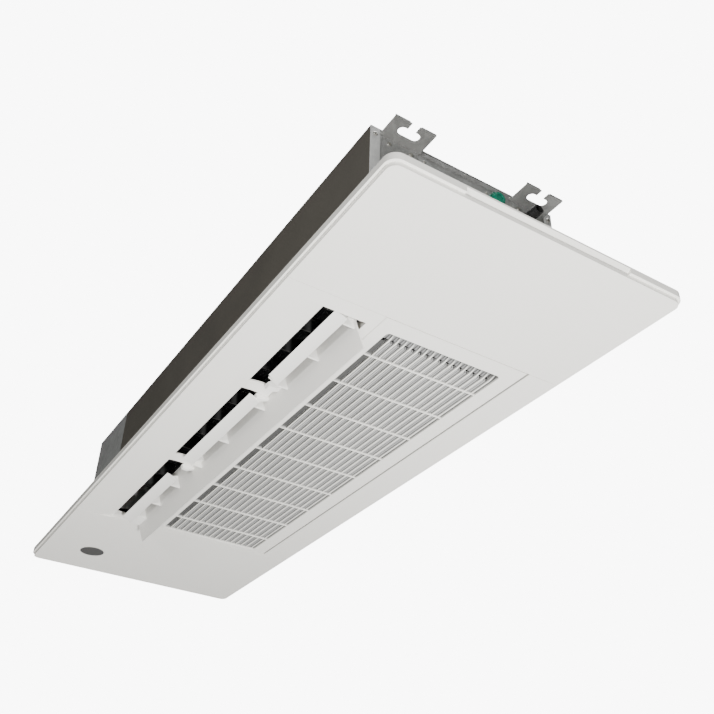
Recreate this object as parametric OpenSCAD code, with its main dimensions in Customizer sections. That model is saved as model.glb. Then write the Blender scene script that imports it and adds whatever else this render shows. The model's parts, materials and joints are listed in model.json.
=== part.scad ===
// One-way ceiling cassette indoor unit: slim casing above, long flat panel below.
// The back of the panel rim lies in the ceiling plane at Z = 0, the face points down.
// +X is the pipe end, -Y is the air outlet side, +Y is the return air side.

/* [Panel] */
// Near end of the panel, at the pipes
panel_near = 590; // [575:1:620]
// Far end of the panel
panel_far = 570; // [555:1:620]
// Outlet side of the panel
panel_out = 197; // [194:0.5:215]
// Return side of the panel
panel_ret = 187.5; // [184:0.5:215]
// Depth of the panel face below the ceiling
panel_t = 14; // [13.6:0.1:15]
// Corner radius of the rim
panel_r = 14; // [10:1:24]
// Height of the outer rim wall
rim_h = 8.6; // [7:0.1:9]
// Inset of the face behind the rim wall
rim_step = 3.2; // [2.5:0.1:4.5]
// Moulded wall thickness
skin = 2.5; // [2.2:0.1:2.8]
// Seam gap between the covers and the middle section
seam = 0.6; // [0.4:0.1:1]
// Seam of the near cover
mid_near = 388.3; // [388:0.1:390]
// Seam of the far cover
mid_far = 316; // [315.8:0.1:318]

/* [Intake grille door] */
// Far edge of the door opening
door_far = 312.3; // [311.8:0.1:312.5]
// Outlet side edge of the door opening
door_out = 68; // [67.5:0.1:68.4]
// Return side edge of the door opening
door_ret = 140.2; // [139.8:0.1:141]
// Gap round the door
door_gap = 0.8; // [0.5:0.1:1]
// Gap on the hinge side of the door
hinge_gap = 2.2; // [2.1:0.1:2.6]
// Plain strip at the near end of the door
field_near_in = 23.5; // [20:0.5:40]
// Plain strip at the far end of the door
field_far_in = 7.5; // [6:0.5:30]
// Width of the slatted field
field_wid = 165; // [150:1:168]
// Number of slats
slat_count = 16; // [12:1:18]
// Number of cross ribs
rib_count = 9; // [7:1:11]
// Spacing of the cross ribs
rib_pitch = 70.5; // [60:0.5:72]
// Slat and rib thickness
slat_t = 1.7; // [1.4:0.1:2.2]

/* [Louver] */
// Hinge line of the louver, towards the outlet side
louver_y = 98; // [97.5:0.1:98.5]
// Hinge line of the louver below the ceiling
louver_z = 7.5; // [7.3:0.1:7.7]
// Gap past the near end of the louver
louver_gap_near = 5.2; // [4.7:0.1:12]
// Gap past the far end of the louver
louver_gap_far = 3.5; // [3:0.1:12]
// How far the louver stands open, from closed
louver_open = 109.6; // [60:0.1:109.6]
// Width of each middle support arm
arm_w = 21.5; // [16:0.5:22]
// Clearance round turning pins
pin_clear = 0.05; // [0.02:0.01:0.08]

/* [Casing] */
// Pipe end of the casing, from the panel centre
body_near = 468; // [466:1:480]
// Far end of the casing, from the panel centre
body_far = 444; // [442:1:456]
// Outlet side of the casing
body_out = 144.7; // [144:0.1:146]
// Return side of the casing
body_ret = 125.3; // [125:0.1:127]
// Top of the casing above the ceiling
body_top = 177.8; // [177:0.1:190]
// Sheet metal thickness
sheet_t = 1; // [0.8:0.1:1.2]
// Foam seal between casing and panel
seal_t = 4; // [3.5:0.1:5]

/* [Hangers] */
// Height of the hanger plates above the ceiling
hanger_z = 167.8; // [155:0.5:170]
// How far the hangers stand out
hanger_reach = 34; // [32:1:40]
// Length of the hanger slot
hanger_slot = 28.5; // [26:0.5:32]
// Width of the hanger slot
hanger_bore = 12.2; // [11:0.1:13]
// Spacing of the hangers across the unit
hanger_pitch = 190.5; // [180:0.5:200]
// Middle of the two hangers, towards the outlet side
hanger_mid = 10; // [8:0.5:12]

/* [Fan and coil] */
// Radius of the cross-flow rotor
fan_r = 46; // [40:0.5:46]
// Number of rotor blades
blade_count = 33; // [24:1:36]
// Number of rotor sections
fan_sections = 6; // [4:1:8]
// Depth of the heat exchanger slab
coil_t = 26; // [20:1:26]
// Length of the slab in the section
coil_w = 163; // [150:1:163]
// Number of fin packs along the coil
fin_count = 52; // [40:1:60]

/* [Drain and pipes] */
// Radius of the gas pipe
gas_r = 6.35; // [6.35:0.01:7.94]
// Radius of the liquid pipe
liquid_r = 3.18; // [3.18:0.01:4.76]
// Outer radius of the drain spigot
drain_r = 7; // [6.5:0.1:7.5]
// Radius of the test port plug
plug_r = 9.5; // [8:0.5:12]

/* [Hidden] */

// Fineness of round work and the overrun of every cut
$fn = 64;
over = 1;
fit_gap = 0.3;

// Panel heights and widths
face_z = -panel_t;
face_in = face_z + skin;
face_out = panel_out - rim_step;
face_ret = panel_ret - rim_step;
seat_top = -1;
flange_w = 22;
lip_y = 134.5;
lip_z = -10;
lip_share = 0.45;
lip_start = lip_y + lip_share * (face_out - lip_y);
lip_steps = 8;
slot_in = 80.8;
slot_in_near = 22.6;
slot_in_far = 2;
slot_near = mid_near - slot_in_near;
slot_far = mid_far - slot_in_far;
louver_near = slot_near - louver_gap_near;
louver_far = slot_far - louver_gap_far;
seat_past = 4;
seat_near = body_near + seat_past;
seat_far = body_far + seat_past;
seat_side = 3.3;
seat_out = body_out + seat_side;
seat_w = 24;
seat_ret_in = 115;
scoop_near = 104.5;
scoop_out = 111;
scoop_wall = 2.4;
scoop_depth = 6;

// Door sizes
d_x0 = -door_far + door_gap;
d_x1 = mid_near - door_gap;
d_y0 = -door_out + door_gap;
d_y1 = door_ret - hinge_gap;
door_top = -4.2;
door_chamfer = 1;
field_x0 = d_x0 + field_far_in;
field_x1 = d_x1 - field_near_in;
field_y0 = -50;
slat_lean = 8;
slat_h = 3.6;
slat_top = face_z + slat_h + door_chamfer;
slat_bend = 18;
bend_steps = 6;
hinge_in = 6;
hinge_y = d_y1 - hinge_in;
hinge_z = face_z + hinge_in;
hinge_r = 1.5;
lug_w = 6;
lug_r = 3;
ear_w = 3;
ear_gap = 0.5;
hinge_shares = [0.09, 0.5, 0.91];
hinge_x = [for (s = hinge_shares) -door_far + s * (door_far + mid_near)];
swing_room = 127.5;
catch_x = [-180, 256];
catch_y = -60;
catch_w = 16;
catch_t = 3;

// Louver sizes, in the closed pose and from the hinge line
lv_tip = [-41.07, -6];
lv_heel = [15.35, -5.93];
lv_root_t = 2.2;
lv_tip_t = 1.8;
lv_bow = 0.5;
rib_seat = 0.1;
blade_lo = [-7.55, 10.1];
blade_hi = [4.4, 21.8];
blade_t = 1.8;
blade_cover = [-1.22, 1.31];
blade_skew = 9;
pivot_r = 1.8;
end_pin_r = 2;
gusset_t = 2.2;
gusset_foot = -14;
gusset_heel = 6;
arm_x = [165, -72.3];
blade_in_far = 6;
blade_in_near = 1.2;
blade_breaks = [-120, -61, 151, 198];
blade_spans = [
    [-slot_far + blade_in_far, blade_breaks[0], 0],
    [blade_breaks[1], blade_breaks[2], 0],
    [blade_breaks[3], slot_near - blade_in_near, blade_skew]
];
gusset_in = 4.6;
gusset_x = [louver_near - gusset_in, 276, 199.1, 137, 29, -59.9, -141, -217];
far_block = 32;
ear_near = 11;
ear_far = 6;
ear_top = 14;
motor_r = 12;
motor_len = 19;
motor_off = 9.5;

// Vane sizes
vane_count = 12;
vane_in_near = 44.3;
vane_in_far = 68.9;
vane_first = slot_near - vane_in_near;
vane_last = slot_far - vane_in_far;
vane_pitch = (vane_first + vane_last) / (vane_count - 1);
vane_t = 1.5;
vane_y0 = 128;
vane_y1 = 86.5;
vane_z0 = 22.3;
vane_z1 = 44.7;
vane_eye_z = 18;
vane_eye_h = 3.5;
vane_pin = 1.5;
link_pin = 1;
link_y = 106.5;
link_w = 9;
link_t = 2;
link_slot = 2.6;
link_slot_l = 6;

// Air path sizes
fan_y = -72;
fan_z = 98;
shaft_r = 5;
disc_t = 2.5;
hub_r = 14;
blade_w = 13;
path_past = 2;
path_near = slot_near + fit_gap;
path_far = slot_far + path_past;
path_end = 8;
fan_near = path_near - path_end;
fan_far = path_far - path_end;
foam_base = 6;
foam_gap = 0.7;
tongue = [-60, 44];
pan_in = -28;
pan_ret = 26;
pan_floor = 13;
pan_rim = 36;
pan_wall = 5;
sump_in = 16;
sump_near = body_near - sump_in;
coil_y = -4;
coil_z = 32;
coil_tilt = 43.8;
coil_near = path_near - path_end;
coil_far = path_far - path_end;
fin_groove = 3;
tube_r = 3.6;
tube_rows = 6;
row_gap = 13;
shaft_in = 12;
motor_d = 78;
fan_motor_len = 60;
bush_r = 15;

// Pipe end sizes
gas_y = -60;
liquid_y = -95;
pipe_past = 24;
pipe_out = body_near + pipe_past;
gas_turn = 14;
liquid_turn = 13;
run_past = 26;
pipe_run = coil_near + run_past;
coil_gas = 27.15;
coil_liq = 54.3;
union_len = 22;
nut_len = 7.333;
gas_nut = 12.35;
liquid_nut = 7.2;
drain_y = 84;
drain_z = 150;
drain_past = 22.5;
drain_out = body_near + drain_past;
drain_bore = 5;
drain_brim = 2;
drain_collar = drain_r + drain_brim;
plug_y = 37;
plug_z = 156.4;
plug_out = 7;
plug_rim = 4;
plug_cap = 7.6;
pump_in = 56;
pump_x = body_near - pump_in;
pump_y = 0;
pump_r = 18;
hose_r = 6.5;
box_x0 = -430;
box_x1 = -330;
box_y0 = 2;
box_y1 = 120;
box_z = 72;

// Colours as the photograph shows them
white = [0.87, 0.87, 0.85];
zinc = [0.62, 0.63, 0.61];
dark = [0.22, 0.21, 0.19];
black = [0.05, 0.05, 0.05];
foam = [0.92, 0.92, 0.9];
copper = [0.72, 0.45, 0.3];
green = [0.05, 0.5, 0.36];

// Box from its low and high corners
module slab(x0, x1, y0, y1, z0, z1) {
    translate([x0, y0, z0]) cube([x1 - x0, y1 - y0, z1 - z0]);
}

// A section drawn in Y and Z, carried along X
module along_x(x0, x1) {
    translate([x0, 0, 0]) rotate([90, 0, 90]) linear_extrude(x1 - x0) children();
}

// Round bar along X
module rod_x(x0, x1, y, z, r) {
    translate([x0, y, z]) rotate([0, 90, 0]) cylinder(h = x1 - x0, r = r);
}

// Rectangle with round corners
module round_rect(x0, x1, y0, y1, r) {
    translate([x0 + r, y0]) square([x1 - x0 - 2 * r, y1 - y0]);
    translate([x0, y0 + r]) square([x1 - x0, y1 - y0 - 2 * r]);
    for (x = [x0 + r, x1 - r], y = [y0 + r, y1 - r]) translate([x, y]) circle(r);
}

// Outline of the panel, drawn in by an inset
module outline(inset) {
    round_rect(-panel_far + inset, panel_near - inset, -panel_out + inset, panel_ret - inset,
        panel_r - inset);
}

// Points of an arc from angle a0 to a1 about a centre
function arc(c, r, a0, a1, n) = [for (i = [0:n]) let(a = a0 + (a1 - a0) * i / n)
    [c[0] + r * cos(a), c[1] + r * sin(a)]];

// Points between two ends, bowed sideways by b in the middle
function bowed(p, q, b, n) = let(d = q - p, l = norm(d), u = [-d[1], d[0]] / l)
    [for (i = [0:n]) let(t = i / n) p + d * t + u * b * 4 * t * (1 - t)];

// Panel frame
// The lip beside the outlet rises on one arc
lip_rise = lip_z - face_z;
lip_run = lip_start - lip_y;
lip_rad = (lip_run * lip_run + lip_rise * lip_rise) / (2 * lip_rise);
lip_ang = asin(lip_run / lip_rad);

module outlet_strip() {
    low = arc([-lip_start, face_z + lip_rad], lip_rad, -90, -90 + lip_ang, lip_steps);
    top = arc([-lip_start, face_z + lip_rad], lip_rad - skin, -90 + lip_ang, -90, lip_steps);
    polygon(concat([[-face_out, face_z]], low, top, [[-face_out, face_in]]));
}

module rim() {
    translate([0, 0, -rim_h]) linear_extrude(rim_h) difference() {
        outline(0);
        outline(skin);
    }
    translate([0, 0, -rim_h]) linear_extrude(skin) difference() {
        outline(skin / 2);
        outline(rim_step + skin);
    }
    translate([0, 0, -skin]) linear_extrude(skin) difference() {
        outline(skin / 2);
        translate([-panel_far + flange_w, -panel_out + flange_w])
            square([panel_far + panel_near - 2 * flange_w, panel_out + panel_ret - 2 * flange_w]);
    }
}

// The ledge lies just below the ceiling plane, with a slot over the door's hinge edge
module body_seat() {
    z = seat_top - skin;
    difference() {
        slab(-seat_far, seat_near, -seat_out, door_ret + skin, z, seat_top);
        slab(-seat_far + seat_w, seat_near - seat_w, -lip_y, seat_ret_in, z - over, over);
        difference() {
            slab(-door_far, mid_near, swing_room, door_ret, z - over, over);
            for (x = hinge_x) slab(x - lug_w / 2, x + lug_w / 2, swing_room - over,
                hinge_y + lug_r, z - 2 * over, 2 * over);
        }
    }
    for (x = [-seat_far, seat_near - seat_w]) slab(x, x + seat_w, -panel_out + flange_w - over,
        panel_ret - flange_w + over, z, seat_top);
}

module middle_section() {
    along_x(-mid_far, slot_near + skin / 2) outlet_strip();
    slab(slot_near, mid_near, -face_out, -lip_y, face_z, face_in);
    slab(slot_near, slot_near + skin, -lip_start, -lip_y, face_z, lip_z + skin);
    difference() {
        slab(-mid_far, mid_near, -lip_y - over, -door_out, face_z, face_in);
        slab(-slot_far, slot_near, -lip_y - 2 * over, -slot_in, face_z - over, face_in + over);
    }
    slab(-mid_far, mid_near, door_ret, face_ret, face_z, face_in);
    slab(-mid_far, -door_far, -door_out, door_ret, face_z, face_in);
    for (y = [-face_out, face_ret - skin])
        slab(-mid_far, mid_near, y, y + skin, face_z, -rim_h + skin);
}

module collars() {
    top = seat_top;
    z = face_in + fit_gap;
    slab(-slot_far - skin, slot_near + skin, -lip_y - skin, -lip_y, lip_z + skin / 2, top);
    slab(-slot_far - skin, slot_near + skin, -slot_in, -slot_in + skin, face_z, top);
    slab(slot_near, slot_near + skin, -lip_y - skin, -slot_in + skin, face_z, top);
    slab(-slot_far - skin / 2, -slot_far, -lip_y - skin, -slot_in + skin, face_z, top);
    slab(-slot_far, slot_near, -slot_in, -door_out, top - skin, top);
    slab(-door_far - skin, mid_near + skin, -door_out - skin, -door_out, face_in, top);
    slab(-door_far - skin, mid_near, door_ret, door_ret + skin, face_z, top);
    slab(-door_far - skin, -door_far, -door_out, door_ret, face_z, top);
    slab(mid_near, mid_near + skin, -face_out + skin, face_ret - skin, z, top);
    slab(-mid_far - skin, -mid_far + over, -face_out + skin, face_ret - skin, z, top);
    slab(mid_near - over, mid_near + over, -face_out + skin, -seat_out, z, top);
    slab(mid_near - over, mid_near + over, seat_out, face_ret - skin, z, top);
}

module hinge_lug(x) {
    along_x(x - lug_w / 2, x + lug_w / 2) difference() {
        union() {
            translate([hinge_y, hinge_z]) circle(lug_r);
            translate([hinge_y - lug_r, hinge_z]) square([2 * lug_r, seat_top - hinge_z]);
        }
        translate([hinge_y, hinge_z]) circle(hinge_r + pin_clear);
    }
}

module finger_scoop() {
    along_wall = scoop_near + scoop_out;
    translate([panel_near, -scoop_out, 0]) rotate([-90, 0, 0]) linear_extrude(along_wall)
        polygon([[over, rim_h + over], [over, scoop_wall - over], [0, scoop_wall],
            [-scoop_depth, rim_h], [-scoop_depth, rim_h + over]]);
}

module panel_frame() {
    color(white) difference() {
        union() {
            rim();
            body_seat();
            middle_section();
            collars();
            for (x = hinge_x) hinge_lug(x);
            slab(panel_near - 2 * scoop_depth, panel_near - over, -scoop_out - skin,
                scoop_near + skin, -rim_h, -scoop_wall + over);
        }
        finger_scoop();
        rod_x(slot_near - over, slot_near + skin + over, -louver_y, -louver_z,
            end_pin_r + pin_clear);
        rod_x(-slot_far - skin - over, -slot_far + over, -louver_y, -louver_z,
            end_pin_r + pin_clear);
        for (p = bolt_points()) translate([p[0], p[1], seat_top - skin - over])
            cylinder(h = skin + 2 * over, r = bolt_r + fit_gap);
    }
}

// End covers: a plate with a skirt and stiffening ribs, held under the rim ledge
rib_h = 2.4;
cover_ribs = 3;

module cover_half(x0, x1, inset) {
    intersection() {
        outline(rim_step + inset);
        translate([x0, -panel_out]) square([x1 - x0, panel_out + panel_ret]);
    }
}

module end_cover(x0, x1) {
    translate([0, 0, face_z]) linear_extrude(skin) cover_half(x0, x1, 0);
    translate([0, 0, face_z]) linear_extrude(panel_t - rim_h) difference() {
        cover_half(x0, x1, 0);
        cover_half(x0 - over, x1 + over, skin);
    }
    for (i = [1:cover_ribs]) translate([0, -face_out + i * (face_out + face_ret) / (cover_ribs + 1)])
        slab(x0 + rim_step, x1 - rim_step, -skin / 2, skin / 2, face_in - over,
            face_in + rib_h - over);
}

module near_end_cover() {
    color(white) end_cover(mid_near + seam, panel_near - rim_step);
}

window_x = -panel_far + 91;
window_y = -113.8;
window_r = 20.5;
window_t = 1.6;
bezel_w = 3;

module far_end_cover() {
    color(white) difference() {
        union() {
            end_cover(-panel_far + rim_step, -mid_far - seam);
            translate([window_x, window_y, face_z])
                cylinder(h = skin + rib_h, r = window_r + bezel_w);
        }
        translate([window_x, window_y, face_z - over])
            cylinder(h = skin + rib_h + 2 * over, r = window_r);
    }
}

module receiver_window() {
    color(black) translate([window_x, window_y, 0]) {
        translate([0, 0, face_z + fit_gap]) cylinder(h = window_t, r = window_r - fit_gap / 2);
        translate([0, 0, face_in + rib_h]) difference() {
            cylinder(h = window_t, r = window_r + bezel_w);
            translate([0, 0, -over]) cylinder(h = window_t + 2 * over, r = window_r - bezel_w);
        }
        translate([0, 0, face_z + fit_gap]) difference() {
            cylinder(h = skin + rib_h + fit_gap, r = window_r - fit_gap / 2);
            translate([0, 0, -over]) cylinder(h = skin + rib_h + 3 * over, r = window_r - bezel_w);
        }
    }
}

board_t = 1.6;
board_l = 54;
board_w = 38;

module receiver_board() {
    z = face_in + rib_h + window_t;
    color(green) translate([window_x, window_y, z]) {
        slab(-board_l / 2, board_l / 2, -board_w / 2, board_w / 2, 0, board_t);
        slab(-board_l / 4, board_l / 4, -board_w / 4, board_w / 4, board_t, 2 * board_t);
    }
}

// Louver supports: two thin curved arms from the outlet lip to the hinge line
arm_eye = 2.8;
arm_t = 2.4;
arm_bow = 1.6;
arm_foot = -8.6;

module louver_supports() {
    color(white) for (x = arm_x) along_x(x - arm_w / 2, x + arm_w / 2) difference() {
        union() {
            translate([-louver_y, -louver_z]) circle(arm_eye);
            polygon(concat(bowed([-lip_y, arm_foot], [-louver_y, -louver_z - arm_eye], arm_bow, 6),
                bowed([-louver_y, -louver_z + arm_eye / 2], [-lip_y + arm_t, arm_foot + arm_t],
                    -arm_bow, 6), [[-lip_y + arm_t, seat_top], [-lip_y, seat_top]]));
        }
        translate([-louver_y, -louver_z]) circle(pivot_r + pin_clear);
    }
}

module louver_motor() {
    x0 = slot_near + skin;
    color([0.75, 0.76, 0.78]) difference() {
        union() {
            rod_x(x0, x0 + motor_len, -louver_y, -louver_z + motor_off, motor_r);
            along_x(x0, x0 + sheet_t) {
                translate([-louver_y - motor_r - arm_eye, -louver_z + motor_off - arm_eye])
                    square([2 * motor_r + 2 * arm_eye, 2 * arm_eye]);
            }
        }
        rod_x(x0 - over, x0 + arm_eye, -louver_y, -louver_z, end_pin_r + pin_clear);
    }
}

// Spring catches that hold the free edge of the grille door
module catch_sockets() {
    color([0.8, 0.8, 0.78]) for (x = catch_x) difference() {
        slab(x - catch_w / 2, x + catch_w / 2, -door_out, catch_y + 2 * catch_t,
            door_top + fit_gap * 3, seat_top);
        slab(x - catch_w / 2 - over, x + catch_w / 2 + over, catch_y - catch_t / 2 - fit_gap,
            catch_y + catch_t / 2 + fit_gap, door_top - over, -catch_t / 2);
    }
}

module panel_seal() {
    w = seat_w / 2;
    color([0.25, 0.25, 0.25]) difference() {
        slab(-body_far, body_near, -body_out, body_ret, seat_top, seal_t);
        for (p = bolt_points()) translate([p[0], p[1], seat_top - over])
            cylinder(h = seal_t + 3 * over, r = bolt_r + fit_gap);
        slab(-body_far + w, body_near - w, -body_out + w / 2, body_ret - w / 2, seat_top - over,
            seal_t + over);
    }
}

bolt_r = 2.5;
bolt_y = 70;
bolt_in = 9;
bolt_head = 4.5;
bolt_head_t = 3;
bolt_up = 14;
function bolt_points() = [for (x = [-body_far + bolt_in, body_near - bolt_in],
    y = [-hanger_mid - bolt_y, -hanger_mid + bolt_y]) [x, y]];

module panel_bolts() {
    color(zinc) for (p = bolt_points()) translate([p[0], p[1], seat_top - skin - bolt_head_t]) {
        cylinder(h = bolt_head_t, r = bolt_head);
        cylinder(h = bolt_up + skin + bolt_head_t, r = bolt_r);
    }
}

// Casing of folded sheet
flange = 12;
base_z = seal_t;
bead_w = 10;
bead_h = 2;

module casing_top() {
    color(zinc) {
        slab(-body_far, body_near, -body_out, body_ret, body_top - sheet_t, body_top);
        for (i = [0:4]) translate([-body_far + (i + 0.5) * (body_far + body_near) / 5, 0, 0])
            slab(-bead_w / 2, bead_w / 2, -body_out + 2 * flange, body_ret - 2 * flange,
                body_top, body_top + bead_h / 2);
    }
}

module side_plate(y0, y1, s) {
    slab(-body_far, body_near, y0, y1, base_z, body_top - sheet_t);
    for (x = [-body_far, body_near - sheet_t]) slab(x, x + sheet_t, min(y0, y0 + s * flange),
        max(y1, y1 + s * flange), base_z, body_top - sheet_t);
    slab(-body_far, body_near, min(y0, y0 + s * flange / 3), max(y1, y1 + s * flange / 3),
        base_z, base_z + sheet_t);
}

module outlet_side_plate() {
    color(dark) side_plate(-body_out, -body_out + sheet_t, 1);
}

module return_side_plate() {
    color(dark) side_plate(body_ret - sheet_t, body_ret, -1);
}

module end_plate_blank(x0, inward) {
    y0 = -body_out + sheet_t;
    y1 = body_ret - sheet_t;
    slab(x0, x0 + sheet_t, y0, y1, base_z, body_top - sheet_t);
    slab(min(x0, x0 + inward * flange * 1.5), max(x0 + sheet_t, x0 + inward * flange * 1.5),
        y0 + flange, y1 - flange, base_z, base_z + sheet_t);
    slab(min(x0, x0 + inward * flange), max(x0 + sheet_t, x0 + inward * flange),
        y0 + flange, y1 - flange, body_top - 2 * sheet_t, body_top - sheet_t);
}

module end_bolt_holes() {
    for (p = bolt_points()) translate([p[0], p[1], base_z - over])
        cylinder(h = sheet_t + 2 * over, r = bolt_r + fit_gap);
}

module pipe_end_plate() {
    x0 = body_near - 2 * sheet_t;
    color(zinc) difference() {
        end_plate_blank(x0, -1);
        rod_x(x0 - over, body_near, gas_y, coil_gas_z, gas_r + fit_gap);
        rod_x(x0 - over, body_near, liquid_y, coil_liq_z, liquid_r + fit_gap);
        rod_x(x0 - over, body_near, drain_y, drain_z, drain_r + fit_gap);
        rod_x(x0 - over, body_near, plug_y, plug_z, plug_r / 2 + fit_gap);
        end_bolt_holes();
    }
}

module far_end_plate() {
    color(zinc) difference() {
        end_plate_blank(-body_far + sheet_t, 1);
        end_bolt_holes();
    }
}

// Hanger: a folded plate with a slot that is open to the outer edge
hanger_t = 1.6;
head_w = 56;
root_w = 45;
leg_h = 42;
leg_spread = 26;
mouth_w = 10.8;
slot_x = 18.6;
tooth_r = 2.4;
fold_lip = 3;

module hanger_plate() {
    translate([-sheet_t, -root_w / 2]) square([sheet_t + over, root_w]);
    difference() {
        translate([0, -head_w / 2]) square([hanger_reach, head_w]);
        for (s = [-1, 1]) translate([slot_x, s * (hanger_slot - hanger_bore) / 2])
            circle(hanger_bore / 2);
        translate([slot_x - hanger_bore / 2, -(hanger_slot - hanger_bore) / 2])
            square([hanger_bore, hanger_slot - hanger_bore]);
        translate([slot_x, -mouth_w / 2]) square([hanger_reach, mouth_w]);
    }
}

module hanger() {
    translate([0, 0, hanger_z]) linear_extrude(hanger_t) hanger_plate();
    translate([-sheet_t, 0, hanger_z - leg_h + hanger_t]) rotate([90, 0, 90])
        linear_extrude(hanger_t)
        polygon([[-root_w / 2, leg_h], [root_w / 2, leg_h], [root_w / 2 + fold_lip, leg_spread],
            [root_w / 2 + fold_lip, 0], [-root_w / 2, 0]]);
    for (s = [-1, 1]) translate([hanger_reach - hanger_t, 0, hanger_z])
        slab(0, hanger_t, min(s * head_w / 2, s * (mouth_w / 2 + tooth_r)),
            max(s * head_w / 2, s * (mouth_w / 2 + tooth_r)), 0, fold_lip);
}

hanger_out_y = -hanger_mid - hanger_pitch / 2;
hanger_ret_y = -hanger_mid + hanger_pitch / 2;

module hanger_near_outlet() {
    color(zinc) translate([body_near, hanger_out_y, 0]) hanger();
}
module hanger_near_return() {
    color(zinc) difference() {
        translate([body_near, hanger_ret_y, 0]) hanger();
        rod_x(body_near - 2 * over, body_near + hanger_t + over, drain_y, drain_z,
            drain_collar + fit_gap);
    }
}
module hanger_far_outlet() {
    color(zinc) translate([-body_far, hanger_out_y, 0]) mirror([1, 0, 0]) hanger();
}
module hanger_far_return() {
    color(zinc) translate([-body_far, hanger_ret_y, 0]) mirror([1, 0, 0]) hanger();
}

head_r = 2.8;
head_t = 1.6;

module casing_screws() {
    x = body_near + hanger_t - sheet_t;
    far_x = -body_far - hanger_t + sheet_t;
    color(zinc) {
        for (y = [hanger_out_y, hanger_ret_y], s = [-1, 1], dz = [leg_h / 4, leg_h * 3 / 4])
            for (e = [[x, 1], [far_x, -1]])
                if (e[1] < 0 || s < 0 || y < 0)
                    rod_x(min(e[0], e[0] + e[1] * head_t), max(e[0], e[0] + e[1] * head_t),
                        y + s * root_w / 3, hanger_z + hanger_t - dz, head_r);
        for (y = [-body_out + flange / 2, body_ret - flange / 2], z = [leg_h, body_top - flange])
            for (e = [[body_near, 1], [-body_far, -1]])
                rod_x(min(e[0], e[0] + e[1] * head_t), max(e[0], e[0] + e[1] * head_t),
                    y, z, head_r);
    }
}

// Foam housing whose hollow side guides the air round the rotor
guide_gap = 4;
guide_grow = 14;
guide_a0 = 78;
guide_a1 = 192;

module scroll_housing() {
    wall = -body_out + sheet_t + foam_gap;
    top = body_top - 2 * sheet_t - foam_gap;
    color(foam) along_x(-path_far, path_near) polygon(concat(
        [[wall, foam_base], [wall, top], [fan_y + fan_r, top],
            [fan_y + fan_r, fan_z + fan_r + 2 * guide_gap]],
        [for (i = [0:16]) let(a = guide_a0 + (guide_a1 - guide_a0) * i / 16,
            r = fan_r + guide_gap + guide_grow * i / 16)
            [fan_y + r * cos(a), fan_z + r * sin(a)]],
        [[-lip_y + over, (foam_base + fan_z) / 2], [-lip_y + over, foam_base]]));
}

// Drain pan with the tongue that closes the outlet below the rotor
module pan_section() {
    polygon([[-slot_in + over, foam_base], [-slot_in + over, vane_z0],
        [tongue[0] - pan_wall, tongue[1] - over], tongue,
        [pan_in - pan_wall, pan_rim], [pan_in, pan_rim], [pan_in + over, pan_floor],
        [pan_ret - over, pan_floor - over], [pan_ret, pan_rim], [pan_ret + pan_wall, pan_rim],
        [pan_ret + pan_wall, foam_base]]);
}

module pan_walls() {
    polygon([[pan_in - pan_wall, foam_base], [pan_in - pan_wall, pan_rim],
        [pan_ret + pan_wall, pan_rim], [pan_ret + pan_wall, foam_base]]);
}

module drain_pan() {
    color(foam) {
        along_x(-path_far, path_near) pan_section();
        along_x(path_near - over, sump_near) intersection() {
            pan_section();
            pan_walls();
        }
        along_x(-path_far - 2 * pan_wall, -path_far + over) intersection() {
            pan_section();
            pan_walls();
        }
        along_x(-path_far - 2 * pan_wall, -path_far - pan_wall) pan_walls();
        along_x(sump_near - pan_wall, sump_near) pan_walls();
    }
}

// Cross-flow rotor
// Shares of the blade's width and its turn in degrees, round its outline
fan_blade_shares = [[0, 0], [0.5, 3], [0.92, 11], [0.92, 12.4], [0.5, 5.2], [0, 2]];
function fan_blade(k) = let(a = 360 * k / blade_count)
    [for (p = fan_blade_shares) let(r = fan_r - blade_w + blade_w * p[0])
        [r * cos(a + p[1]), r * sin(a + p[1])]];

module fan_rotor() {
    len = fan_near + fan_far;
    color([0.3, 0.31, 0.33]) translate([-fan_far, fan_y, fan_z]) rotate([0, 90, 0])
        rotate([0, 0, 90]) difference() {
            union() {
                linear_extrude(len) for (k = [0:blade_count - 1]) polygon(fan_blade(k));
                for (i = [0:fan_sections]) translate([0, 0, i * (len - disc_t) / fan_sections])
                    difference() {
                        cylinder(h = disc_t, r = fan_r);
                        if (i > 0 && i < fan_sections) translate([0, 0, -over])
                            cylinder(h = disc_t + 2 * over, r = fan_r - blade_w - disc_t / 2);
                    }
                cylinder(h = shaft_in, r = hub_r);
                translate([0, 0, len - shaft_in]) cylinder(h = shaft_in, r = hub_r);
            }
            translate([0, 0, -over]) cylinder(h = shaft_in + over, r = shaft_r);
            translate([0, 0, len - shaft_in]) cylinder(h = shaft_in + over, r = shaft_r);
        }
}

module fan_shaft() {
    color(zinc) {
        rod_x(-path_far - sheet_t - 2 * shaft_in, -fan_far + shaft_in, fan_y, fan_z, shaft_r);
        rod_x(fan_near - shaft_in, path_near + shaft_in, fan_y, fan_z, shaft_r);
    }
}

module fan_bearing() {
    x0 = path_near;
    color(zinc) difference() {
        union() {
            rod_x(x0, x0 + shaft_in - over, fan_y, fan_z, bush_r);
            slab(x0, x0 + 2 * sheet_t, -lip_y, pan_in - pan_wall, pan_rim,
                fan_z + fan_r + guide_gap);
        }
        rod_x(x0 - over, x0 + shaft_in + over, fan_y, fan_z, shaft_r + pin_clear);
    }
}

module motor_bracket() {
    x1 = -path_far;
    color(zinc) difference() {
        slab(x1 - 2 * sheet_t, x1, -lip_y, pan_in - pan_wall, foam_base,
            fan_z + fan_r + guide_gap);
        rod_x(x1 - 3 * sheet_t, x1 + over, fan_y, fan_z, bush_r);
    }
}

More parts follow.
